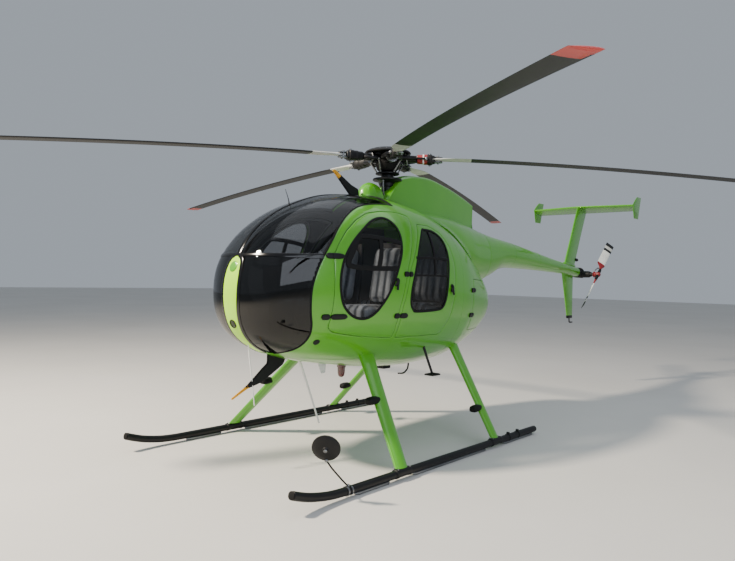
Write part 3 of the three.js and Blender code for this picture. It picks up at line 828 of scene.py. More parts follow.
@dataclass
class HullForm:
    """The egg-shaped hull: a rounded oval at each station.

    At a station the half width is w and the height runs from bottom to top. A point at turn t has
    x = w cos(t)^(2/n) and z = middle + half height times sin(t)^(2/n), signs kept. Stations are
    spaced by the square root of their distance from the nose, which rounds the nose off.
    """

    stations: Array = field(default_factory=lambda: np.array([
        # y, top z, bottom z, half width
        (-2.045, 1.444, 1.444, 0.000), (-2.000, 1.696, 1.202, 0.251), (-1.900, 1.886, 1.069, 0.423),
        (-1.700, 2.083, 0.953, 0.525), (-1.400, 2.245, 0.867, 0.615), (-0.950, 2.372, 0.790, 0.672),
        (-0.500, 2.406, 0.738, 0.699), (-0.050, 2.362, 0.713, 0.692), (0.450, 2.227, 0.738, 0.647),
        (0.900, 1.971, 0.864, 0.539), (1.200, 1.723, 1.020, 0.441), (1.420, 1.475, 1.304, 0.273),
        (1.480, 1.402, 1.378, 0.060),
    ]))
    power: float = 2.25

    def __post_init__(self) -> None:
        """Prepares the smooth profiles."""
        root = np.sqrt(self.stations[:, 0] - self.stations[0, 0])
        self.end = float(root[-1])
        self.top, self.bottom, self.width = (smooth_values(root, self.stations[:, k]) for k in (1, 2, 3))

    def root(self, y: Array) -> Array:
        """The square root of the distance from the nose, kept inside the hull."""
        return np.sqrt(np.clip(np.asarray(y, float) - self.stations[0, 0], 1e-6, self.end**2))

    def station(self, m: Array) -> Array:
        """The station y at a root m."""
        return self.stations[0, 0] + m**2

    def oval(self, m: Array) -> tuple[Array, Array]:
        """Middle height and half height of the oval at roots."""
        return (self.top(m) + self.bottom(m)) / 2, (self.top(m) - self.bottom(m)) / 2

    def turn_at(self, m: Array, z: Array) -> Array:
        """The turn at which the left side passes through a height at a root."""
        middle, half = self.oval(m)
        return np.arcsin(signed_power(np.clip((np.asarray(z) - middle) / half, -1, 1), self.power / 2))

    def turn(self, y: Array, z: Array) -> Array:
        """The turn at which the left side passes through a side-view point, kept within the hull."""
        return self.turn_at(self.root(y), z)

    def point(self, m: Array, t: Array) -> Array:
        """Points of the surface at roots and turns.

        Args:
            m: Roots.
            t: Turns.

        Returns:
            The points.
        """
        m, t = np.broadcast_arrays(m, t)
        middle, half = self.oval(m)
        x = self.width(m) * signed_power(np.cos(t), 2 / self.power)
        return np.stack([x, self.station(m), middle + half * signed_power(np.sin(t), 2 / self.power)], -1)

    def normal(self, m: Array, t: Array) -> Array:
        """Outward unit normals, from the slope of the oval's equation at each point.

        The oval is |x/w|^n + |(z-middle)/half|^n = 1 with w, middle and half changing along y, so
        the normal is that equation's gradient.

        Args:
            m: Roots.
            t: Turns.

        Returns:
            The normals.
        """
        e = 1e-4
        m, t = np.broadcast_arrays(np.clip(m, 0.01, self.end - e), t)
        p = self.point(m, t)
        n, w = self.power, self.width(m)
        mid, half = self.oval(m)
        a, b = np.abs(p[..., 0] / w), np.abs((p[..., 2] - mid) / half)
        gx = n * a ** (n - 1) * np.sign(p[..., 0]) / w
        gz = n * b ** (n - 1) * np.sign(p[..., 2] - mid) / half
        dw, dt, dl = ((f(m + e) - f(m - e)) / (2 * e) for f in (self.width, self.top, self.bottom))
        dm, dh = (dt + dl) / 2, (dt - dl) / 2
        gm = -n * a**n * dw / w - gz * dm - n * b**n * dh / half
        g = np.stack([gx, gm / (2 * m), gz], -1)
        return g / np.maximum(np.linalg.norm(g, axis=-1), 1e-9)[..., None]

    def both(self, m: Array, t: Array) -> tuple[Array, Array]:
        """Points and outward normals at roots and turns."""
        return self.point(m, t), self.normal(m, t)

    def side(self, y: Array, z: Array) -> tuple[Array, Array]:
        """Points and outward normals on the left side at side-view points."""
        return self.both(self.root(y), self.turn(y, z))

    def front(self, x: Array, z: Array) -> Array:
        """Roots of the nose's surface at front-view points, found by halving an interval.

        Args:
            x: Distances from the middle.
            z: Heights.

        Returns:
            The roots.
        """
        low, high = np.full(np.shape(x), 1e-4), np.full(np.shape(x), 1.1)
        for _ in range(40):
            m = (low + high) / 2
            middle, half = self.oval(m)
            inside = np.abs(x / self.width(m)) ** self.power + np.abs((z - middle) / half) ** self.power < 1
            low, high = np.where(inside, low, m), np.where(inside, m, high)
        return (low + high) / 2

    def nose(self, x: Array, z: Array, lift: float | Array = 0.0) -> Array:
        """Points on the nose at front-view points, raised off the surface by lift.

        Args:
            x: Distances from the middle.
            z: Heights.
            lift: Distance off the surface.

        Returns:
            The points.
        """
        m = self.front(x, z)
        t = self.turn_at(m, z)
        t = np.where(x < 0, np.pi - t, t)
        lift = np.broadcast_to(lift, np.shape(x))[..., None]
        return np.stack([x, self.station(m), z], -1) + self.normal(m, t) * lift


HULL = HullForm()
LENGTH_SCALE = 1.9
GIRTH_SCALE = 0.75
TOP = np.pi / 2 * GIRTH_SCALE


def lay_flat(m: Array, t: Array) -> Array:
    """Roots and turns as a flat drawing of the left half of the skin, roughly in metres."""
    return np.stack([np.asarray(m) * LENGTH_SCALE, np.asarray(t) * GIRTH_SCALE], -1)


def flat_line(line: Array) -> Array:
    """Side-view points on the flat drawing."""
    return lay_flat(HULL.root(line[:, 0]), HULL.turn(line[:, 0], line[:, 1]))


def flat_side(outline: Outline) -> Array:
    """A closed side-view line on the flat drawing; what lies past the hull goes to its centre line.

    Args:
        outline: Points as station and height.

    Returns:
        The line on the flat drawing, with a point about every 8 mm.
    """
    return flat_line(spaced(np.array(outline, float), 0.008))


@dataclass
class Panel:
    """A stretch of the hull's skin cut to outlines, with a thickness and rolled edges.

    The left half of the skin is laid out flat as length along the hull by turn. Points on the
    outlines, on a second line just inside them and on an even lattice between are joined by a
    Delaunay triangulation, and what lies outside the outline or in a hole is dropped. Each point
    then goes to its place on the hull, and a second skin lies under the first, down the normals.
    """

    thickness: float = 0.028
    depth: float = 0.0
    spacing: float = 0.024
    edge: float = 0.010
    roll: float = 0.005
    drop: float = 0.0016

    def lattice(self, border: Array, holes: Sequence[Array], near: Array) -> Array:
        """Lattice points inside the border, outside the holes and not too near their lines.

        Args:
            border: The outline.
            holes: Outlines left open.
            near: Points on the lines.

        Returns:
            The lattice points kept.
        """
        lo, hi = border.min(0), border.max(0)
        rows = np.arange(lo[0] + self.spacing / 2, hi[0], self.spacing)
        columns = np.arange(lo[1] + self.spacing / 2, hi[1], self.spacing)
        grid = np.stack(np.meshgrid(rows, columns, indexing="ij"), -1).reshape(-1, 2)
        keep = within(grid, border)
        for hole in holes:
            keep &= ~within(grid, hole)
        grid = grid[keep]
        if not len(grid):
            return grid
        nearest = np.concatenate([
            ((grid[k:k + 1000, None] - near[None]) ** 2).sum(-1).min(1) for k in range(0, len(grid), 1000)
        ])
        return grid[nearest > (self.edge * 0.8) ** 2]

    def build(self, outline: Array, holes: Sequence[Array] = (), both: bool = False) -> Surface:
        """Makes the panel for the left side, or for both sides in one.

        Args:
            outline: The outline on the flat drawing.
            holes: Outlines on it that are left open.
            both: Whether the mirrored half is joined on, edge to edge at top and keel.

        Returns:
            The closed surface: finish 0 outside and on the rims, finish 1 inside.
        """
        border = spaced(outline, self.edge)
        rims = [spaced(hole, self.edge) for hole in holes]
        lines = [border, *rims]
        rolls = [inset(border, self.roll), *[inset(rim, -self.roll) for rim in rims]]
        loose = np.concatenate([r[np.abs(r[:, 1]) < TOP - 0.004] for r in rolls])
        near = np.concatenate([*lines, loose])
        points = np.concatenate([near, self.lattice(border, rims, near)])
        counts = np.cumsum([0] + [len(line) for line in lines])
        edges = np.concatenate([
            np.stack([np.arange(a, b), np.roll(np.arange(a, b), -1)], -1) for a, b in zip(counts, counts[1:])
        ])
        points[:, 1] = np.clip(points[:, 1], -TOP, TOP)
        points[:, 0] = np.clip(points[:, 0], 0.002, HULL.end * LENGTH_SCALE)
        made = delaunay_2d_cdt([Vector(p) for p in points.tolist()], edges.tolist(), [], 0, 1e-6)
        flat, tris = np.array([v[:] for v in made[0]]), np.array(made[2])
        middle = flat[tris].mean(1)
        good = within(middle, np.clip(border, [-9, -TOP], [9, TOP]))
        for rim in rims:
            good &= ~within(middle, rim)
        tris = tris[good]
        m, t = flat[:, 0] / LENGTH_SCALE, flat[:, 1] / GIRTH_SCALE
        skin, normal = HULL.point(m, t), HULL.normal(m, t)
        rim, size = open_edges(tris), len(flat)
        if both:
            centre = np.abs(flat[:, 1]) > TOP - 1e-5
            rim = rim[~centre[rim].all(1)]
        rim_point = np.zeros(size, bool)
        rim_point[rim.ravel()] = True
        outside = skin - normal * (self.depth + self.drop * rim_point)[:, None]
        inside = skin - normal * (self.depth + self.thickness)
        a, b = rim.T
        surface = Surface(
            np.concatenate([outside, inside]), np.stack([b, a, a + size, b + size], -1),
            np.concatenate([tris, tris[:, ::-1] + size]), np.zeros(len(a), int),
            np.repeat([0, 1], len(tris)),
        )
        p = surface.points[tris]
        face = np.cross(p[:, 1] - p[:, 0], p[:, 2] - p[:, 0])
        if (face * normal[tris[:, 0]]).sum() < 0:
            surface.quads, surface.tris = surface.quads[:, ::-1], surface.tris[:, ::-1]
        return surface.join(surface.mirrored()) if both else surface


def ribbon(
    points: Array, normals: Array, half: float | Array, proud: float, deep: float, closed: bool = False
) -> Surface:
    """A strip laid along a line on a surface: a low rounded bar square to the surface's normal.

    The section runs from one flank up over a crown and down the other flank.

    Args:
        points: The line's points.
        normals: The surface's normals there.
        half: Half width of the strip.
        proud: Height of the crown above the surface.
        deep: Depth of its underside.
        closed: Whether the line is a loop.

    Returns:
        The closed surface.
    """
    if closed:
        along = np.roll(points, -1, axis=0) - np.roll(points, 1, axis=0)
    else:
        along = np.gradient(points, axis=0)
    across = units(np.cross(normals, units(along)))
    section = np.array([
        (-1.0, -deep), (-1.0, proud * 0.35), (-0.86, proud * 0.8), (-0.5, proud), (0.5, proud),
        (0.86, proud * 0.8), (1.0, proud * 0.35), (1.0, -deep),
    ])
    width = np.broadcast_to(half, len(points))
    rings = (points[:, None] + across[:, None] * (width[:, None] * section[:, 0])[..., None]
             + normals[:, None] * section[None, :, 1, None])
    if not closed:
        return rings_surface(rings)
    count, sides = rings.shape[:2]
    index = np.arange(count * sides).reshape(count, sides)
    row, column = np.roll(index, -1, axis=0), np.roll(index, -1, axis=1)
    both = np.roll(row, -1, axis=1)
    return Surface(rings.reshape(-1, 3), np.stack([index, column, both, row], -1).reshape(-1, 4)).outward()


def side_ribbon(line: Array, half: float, proud: float, deep: float, closed: bool = False) -> Surface:
    """A ribbon along a side-view line on the hull's left side."""
    return ribbon(*HULL.side(line[:, 0], line[:, 1]), half, proud, deep, closed)


def foil_half(share: Array, end: float) -> Array:
    """Half the thickness of a wing's section of thickness one.

    At a share c of the chord it is 1.4845 sqrt(c) - 0.63 c - 1.758 c^2 + 1.4215 c^3 - 0.5075 c^4,
    which rounds the nose.

    Args:
        share: Shares of the chord, from the leading edge.
        end: The value at the trailing edge.

    Returns:
        The half thickness at each share.
    """
    c = share
    half = 1.4845 * np.sqrt(c) - 0.63 * c - 1.758 * c**2 + 1.4215 * c**3 - 0.5075 * c**4
    half[-1] = end
    return half


def chord_shares(count: int) -> Array:
    """Shares of a chord, crowded at both ends."""
    return (1 - np.cos(np.linspace(0, np.pi, count))) / 2


def foil(rows: Sequence[tuple[Sequence[float], Sequence[float], float]],
         across: Sequence[float]) -> Surface:
    """A wing through sections: on each chord the curve of foil_half is laid to both sides.

    Args:
        rows: Leading edge, trailing edge and thickness of each section.
        across: The direction of thickness.

    Returns:
        The closed surface, with FOIL_CORNERS corners to a section.
    """
    c = chord_shares(FOIL_CORNERS // 2 + 1)
    half = foil_half(c, 0.02)
    share = np.concatenate([c, c[-2:0:-1]])
    offset = np.concatenate([half, -half[-2:0:-1]])
    lead, trail = (np.array([row[k] for row in rows], float) for k in (0, 1))
    thick = np.array([row[2] for row in rows], float)
    return rings_surface(lead[:, None] + (trail - lead)[:, None] * share[None, :, None]
                         + np.array(across, float) * (thick[:, None] * offset[None])[..., None])


def level_rows(rows: Sequence[Sequence[float]],
               x: float = 0.0) -> list[tuple[Sequence[float], Sequence[float], float]]:
    """Sections of a fin from rows of height, leading edge, trailing edge and thickness."""
    return [((x, lead, z), (x, trail, z), thick) for z, lead, trail, thick in rows]


def spread_sections(rows: Array, at: Array) -> Array:
    """Values of a table between its rows, by straight lines on its first column."""
    return np.stack([np.interp(at, rows[:, 0], rows[:, k]) for k in range(rows.shape[1])], -1)


def oval_loft(rows: Array, steps: int, sides: int) -> Surface:
    """An oval body through rows of station, top, bottom and half width, smoothly between the rows.

    A point at turn t has x = half width cos(t) and height = middle + half height sin(t).

    Args:
        rows: The table of sections.
        steps: Rings made along the body.
        sides: Corners of each ring.

    Returns:
        The closed surface.
    """
    y = np.linspace(rows[0, 0], rows[-1, 0], steps)
    top, low, half = (v[:, None] for v in smooth_rows(rows, y))
    turn = turns(sides)
    z = (top + low) / 2 + (top - low) / 2 * np.sin(turn)
    return rings_surface(spots(half * np.cos(turn), y[:, None], z))


@dataclass
class Fuselage:
    """The green shell with its tail cap, floor, bulkhead, seams, rivets and chin ports."""

    canopy_edge: Outline = (
        (-0.500, 2.290), (-0.611, 2.292), (-0.809, 2.272), (-1.000, 2.228), (-1.175, 2.141), (-1.322, 2.024),
        (-1.420, 1.916), (-1.494, 1.827), (-1.548, 1.750), (-1.599, 1.657), (-1.638, 1.542), (-1.648, 1.427),
        (-1.633, 1.313), (-1.598, 1.211), (-1.578, 1.128), (-1.583, 1.053), (-1.609, 0.997), (-1.657, 0.960),
        (-1.720, 0.900),
    )
    wall: float = 0.028
    floor: float = 1.040
    bulkhead: float = 0.480

    def edge_line(self) -> Array:
        """The canopy's edge as a fine side-view line."""
        return curve(self.canopy_edge, 190)

    def shell(self, doors: Sequence["Door"]) -> None:
        """Builds the painted skin with its door openings.

        Args:
            doors: The doors, whose outlines are left open.
        """
        edge = self.edge_line()
        outline = np.concatenate([
            edge[::-1], [(-0.5, 2.6), (1.475, 2.6), (1.475, 0.6), (-1.72, 0.6)],
        ])
        holes = [flat_side(d.outline) for d in doors if d.side is Side.LEFT]
        skin = Panel(thickness=self.wall).build(flat_side(outline), holes, both=True)
        piece("painted_shell", skin, [GREEN, LINING], ["fuselage_shell"], weld=2e-5)

    def cap(self) -> None:
        """Closes the egg's tail with a domed plate just under the skin."""
        m = np.sqrt(np.linspace(1.462, 1.478, 5) - HULL.stations[0, 0])
        points, normals = HULL.both(m[:, None], turns(40)[None])
        piece("tail_cap", rings_surface(points - normals * 0.003), GREEN)

    def floor_and_bulkhead(self) -> None:
        """Builds the cabin floor and the wall behind the rear bench, inside the skin."""
        y = np.linspace(-1.555, self.bulkhead, 40)
        reach = HULL.side(y, np.full(40, self.floor))[0][:, :1] - 0.034
        corners = np.array([(-1, 0.0), (1, 0.0), (1, -0.02), (-1, -0.02)])
        rings = spots(reach * corners[:, 0], y[:, None], self.floor + corners[:, 1])
        piece("cabin_floor", rings_surface(rings), TRIM, bevel=0.004)
        # Station and distance under the skin of the wall's rings, from its rim inwards.
        stations, under = np.array([(0.478, 0.035), (0.478, 0.045), (0.470, 0.20), (0.470, 0.45)]).T
        points, normals = HULL.both(HULL.root(np.full((4, 1), self.bulkhead)), turns(72)[None])
        rim = points - normals * under[:, None, None]
        rim[..., 1] = stations[:, None]
        piece("rear_bulkhead", rings_surface(np.concatenate([rim[:1] + [0, 0.02, 0], rim])), LINING)

    def seams(self) -> None:
        """Draws the skin's lap joints as fine raised lines."""
        lines = {
            "keel_seam": [(-1.454, 1.174), (-1.133, 1.112), (-0.647, 1.040), (0.2, 1.020), (0.62, 1.030)],
            "aft_seam": [(0.330, 0.760), (0.370, 1.100), (0.370, 1.600), (0.330, 2.150)],
            "pillar_seam": [(-0.600, 0.760), (-0.648, 1.000), (-0.650, 1.045)],
        }
        for name, line in lines.items():
            strip = side_ribbon(spaced(curve(line, 60), 0.012, False), 0.0022, 0.0009, 0.002)
            pair(f"{name}_*", strip, GREEN)

    def rivets(self) -> None:
        """Sets low domed rivets along the lap joints, 40 mm apart."""
        rows = [
            [(-1.454, 1.190), (-1.133, 1.128), (-0.647, 1.056)],
            [(0.314, 0.800), (0.354, 1.100), (0.354, 1.600), (0.314, 2.120)],
            [(0.386, 0.800), (0.386, 1.060)],
            [(0.60, 1.650), (0.90, 1.645), (1.18, 1.620)],
            [(-1.0, 0.90), (-0.5, 0.865), (0.0, 0.85), (0.5, 0.88), (0.9, 0.97)],
        ]
        whole = Surface()
        for row in rows:
            y, z = spaced(np.array(row, float), 0.04, False).T
            whole.join(studs(*HULL.side(y, z), 0.0034, 0.0011))
        pair("skin_rivets_*", whole, GREEN)

    def fittings(self) -> None:
        """Adds the black port low on each side of the nose."""
        pair("chin_port_*", disc_on_hull((-1.483, 1.062), 0.030, 0.006), BLACK)


def studs(points: Array, normals: Sequence[float] | Array, radius: float, height: float) -> Surface:
    """Low domes of eight sides, one at each point: a ring, two smaller raised rings and a crown.

    Args:
        points: Where they sit.
        normals: Which way they point, for each or for all.
        radius: Radius at the foot.
        height: Height of the crown.

    Returns:
        All domes in one surface, each closed underneath.
    """
    count = len(points)
    normals = np.broadcast_to(np.array(normals, float), (count, 3))
    side = np.cross(normals, UPWARD)
    upright = np.linalg.norm(side, axis=1) < 1e-3
    side[upright] = np.cross(normals[upright], AFT)
    side = units(side)
    up = np.cross(normals, side)
    turn = turns(8)[None, :, None]
    circle = np.cos(turn) * side[:, None] + np.sin(turn) * up[:, None]
    rows = [(radius, -0.001), (radius, height * 0.3), (radius * 0.6, height * 0.9)]
    rings = np.stack([points[:, None] + circle * r + normals[:, None] * h for r, h in rows], 1)
    ends = [points + normals * height, points - normals * 0.001]
    index = np.arange(count * 24).reshape(count, 3, 8)
    after = np.roll(index, -1, axis=2)
    quads = np.stack([index[:, :-1], after[:, :-1], after[:, 1:], index[:, 1:]], -1).reshape(-1, 4)
    crown = np.broadcast_to((count * 24 + np.arange(count))[:, None], (count, 8))
    tris = np.concatenate([
        np.stack([index[:, 2], after[:, 2], crown], -1).reshape(-1, 3),
        np.stack([after[:, 0], index[:, 0], crown + count], -1).reshape(-1, 3),
    ])
    return Surface(np.concatenate([rings.reshape(-1, 3), *ends]), quads, tris)


def disc_on_hull(at: tuple[float, float], radius: float, height: float) -> Surface:
    """A round cap on the hull's left side at a side-view point."""
    rows = [(1.0, -0.004), (1.0, height * 0.5), (0.9, height * 0.9), (0.6, height), (0.1, height)]
    return turned([(radius * share, z) for share, z in rows], *spot_on_hull(*at), 28)


def spot_on_hull(y: float, z: float) -> tuple[Array, Array]:
    """The point and outward normal of the hull's left side at a side-view point."""
    points, normals = HULL.side(np.array([y]), np.array([z]))
    return points[0], normals[0]


@dataclass
class Canopy:
    """The bubble: four tinted panes, their black frame, and the nose strip with its two lamps."""

    strip: Outline = (
        # height, half width
        (1.757, 0.012), (1.753, 0.028), (1.743, 0.044), (1.722, 0.060), (1.690, 0.073), (1.640, 0.082),
        (1.560, 0.088), (1.440, 0.088), (1.320, 0.080), (1.200, 0.072), (1.090, 0.060), (1.000, 0.040),
        (0.900, 0.026),
    )
    border: float = 0.034
    seam: float = 1.770
    seam_half: float = 0.013
    seam_rear: float = 0.021
    centre_half: float = 0.024
    pane: float = 0.006
    keel: float = 0.957
    gap: float = 0.0004
    lap: float = 0.006
    roof: float = -0.5

    def strip_half(self, z: Array) -> Array:
        """Half width of the nose strip at a height."""
        return smooth_rows(np.array(self.strip)[::-1], z)[0]

    def edge_station(self, shell: Fuselage, z: Number) -> Array:
        """Station of the canopy's rear edge at heights up to the roof, where it turns level."""
        y, height = shell.edge_line()[:19:-1].T
        return np.interp(z, height, y)

    def seam_line(self, shell: Fuselage, z: float, front: float) -> Array:
        """The seam on the flat drawing at a height, from the rear edge to a root in front."""
        m = np.linspace(float(HULL.root(self.edge_station(shell, z) - self.gap)), front, 90)
        return lay_flat(m, HULL.turn(HULL.station(m), z))

    def upper_outline(self, shell: Fuselage) -> Array:
        """The upper left pane on the flat drawing: seam, centre bar, roof edge and rear edge.

        Args:
            shell: The fuselage, for the canopy's rear edge.

        Returns:
            The outline.
        """
        z = self.seam + self.seam_half - self.lap
        x = self.centre_half - self.lap
        front = float(HULL.front(np.array([x]), np.array([z]))[0])
        m = np.linspace(front, float(HULL.root(self.roof - self.gap)), 160)
        bar = lay_flat(m, np.arccos((x / HULL.width(m)) ** (HULL.power / 2)))
        edge = shell.edge_line()
        rear = flat_line(edge[edge[:, 1] > z] - [self.gap, 0.0])
        t = np.linspace(bar[-1, 1], rear[0, 1], 20)[1:-1]
        roof = np.stack([np.full(18, bar[-1, 0]), t], -1)
        return np.concatenate([self.seam_line(shell, z, front), bar[1:], roof, rear])

    def lower_outline(self, shell: Fuselage) -> Array:
        """The lower left pane on the flat drawing: seam, strip border and rear edge.

        Args:
            shell: The fuselage, for the canopy's rear edge.

        Returns:
            The outline.
        """
        z = self.seam - self.seam_half + self.lap
        heights = np.linspace(z, self.keel, 160)
        m = HULL.front(self.strip_half(heights) + self.border - self.lap, heights)
        keep = HULL.station(m) < self.edge_station(shell, heights) - 0.004
        heights, m = heights[keep], m[keep]
        down = lay_flat(m, HULL.turn(HULL.station(m), heights))
        edge = shell.edge_line()[::-1]
        edge = edge[(edge[:, 1] < z) & (edge[:, 1] > heights[-1])] - [self.gap, 0.0]
        return np.concatenate([self.seam_line(shell, z, m[0]), down[1:], flat_line(edge)])

    def panes(self, shell: Fuselage) -> None:
        """Builds the four panes.

        Args:
            shell: The fuselage, for the canopy's rear edge.
        """
        maker = Panel(thickness=self.pane, depth=0.0015, drop=0.0005)
        for level, outline, tint in (("upper", self.upper_outline(shell), ROOF_SMOKE),
                                     ("lower", self.lower_outline(shell), SMOKE)):
            name = f"canopy_{level}_*"
            pair(f"{name}_pane", maker.build(outline), [tint, tint], [name])

    def frame(self, shell: Fuselage) -> None:
        """Builds the black bars: seam bar, centre bar and strip borders, then the rear seals.

        Args:
            shell: The fuselage, for the canopy's rear edge.
        """
        start = float(HULL.root(self.edge_station(shell, self.seam)))
        front = float(HULL.front(np.array([1e-4]), np.array([self.seam]))[0])
        m = front + (start - front) * np.linspace(1, 0, 110) ** 2
        left, up = HULL.both(m, HULL.turn(HULL.station(m), self.seam))
        points = np.concatenate([left, left[-2::-1] * MIRRORED])
        normals = np.concatenate([up, up[-2::-1] * MIRRORED])
        share = np.abs(points[:, 0]) / np.abs(points[:, 0]).max()
        half = self.seam_half + (self.seam_rear - self.seam_half) * share**2
        whole = Surface().join(ribbon(points, normals, half, 0.003, 0.008))
        centre = HULL.both(np.linspace(front, float(HULL.root(self.roof)), 90), np.full(90, np.pi / 2))
        whole.join(ribbon(*centre, self.centre_half, 0.003, 0.008))
        z = np.linspace(self.seam, self.keel, 120)
        x = self.strip_half(z) + self.border / 2
        rail = ribbon(HULL.nose(x, z), self.nose_normal(x, z), self.border / 2, 0.003, 0.010)
        for side in Side:
            whole.join(rail.on(side))
        piece("canopy_bars", whole, BAR, ["canopy_frame"])
        edge = spaced(shell.edge_line(), 0.012, False)
        y, z = edge[edge[:, 1] > 0.945].T
        seal = ribbon(*HULL.side(y, z), 0.008, 0.0022, 0.032)
        across = np.linspace(np.pi / 2, float(HULL.turn(y[:1], z[:1])[0]), 30)
        seal.join(ribbon(*HULL.both(HULL.root(np.full(30, self.roof)), across), 0.012, 0.003, 0.006))
        pair("canopy_seal_*", seal, RUBBER)

    def nose_normal(self, x: Array, z: Array) -> Array:
        """Normals of the nose at front-view points, from two nearby offsets of its surface."""
        return (HULL.nose(x, z, 0.01) - HULL.nose(x, z)) / 0.01

    def nose_strip(self) -> None:
        """Builds the bright strip as rows across the nose, a crowned sheet with a rolled rim."""
        top = self.strip[0][0]
        z = (top - (top - self.keel) * np.linspace(0.0, 1.0, 130) ** 1.6)[:, None]
        half = self.strip_half(z) - 0.0005
        # Share of the half width and height of the crown, from the middle outwards.
        u, lift = np.array([(0.0, 0.002), (0.3, 0.002), (0.6, 0.002), (0.9, 0.002), (0.985, 0.0012),
                            (1.0, -0.001)]).T
        x = half * np.concatenate([-u[:0:-1], u])
        z = np.broadcast_to(z, x.shape)
        outside = HULL.nose(x, z, np.concatenate([lift[:0:-1], lift]))
        inside = HULL.nose(x, z, -0.012)[:, ::-1]
        # The strip wears the green enamel painted lighter, as a painted highlight.
        piece("nose_strip_panel", rings_surface(np.concatenate([outside, inside], 1)), SUNLIT_GREEN, ["nose_strip"])

    def lamps(self) -> None:
        """Builds the strip's painted cover above and its dark lamp and rim below."""
        cover = [(0.046, -0.004), (0.046, 0.003), (0.041, 0.006), (0.028, 0.007), (0.004, 0.0075)]
        rim = [(0.038, -0.004), (0.038, 0.005), (0.034, 0.007), (0.028, 0.006), (0.027, -0.001)]
        lens = [(0.027, -0.002), (0.025, 0.002), (0.014, 0.004), (0.003, 0.005)]
        for name, height, rows, finish in (
            ("upper_nose_cover", 1.672, cover, GREEN), ("lower_nose_lamp_rim", 1.205, rim, BLACK),
            ("lower_nose_lamp", 1.205, lens, SMOKE),
        ):
            x, z = np.array([0.0005]), np.array([height])
            at, out = HULL.nose(x, z)[0], self.nose_normal(x, z)[0]
            piece(name, turned(rows, at, out, 32), finish)


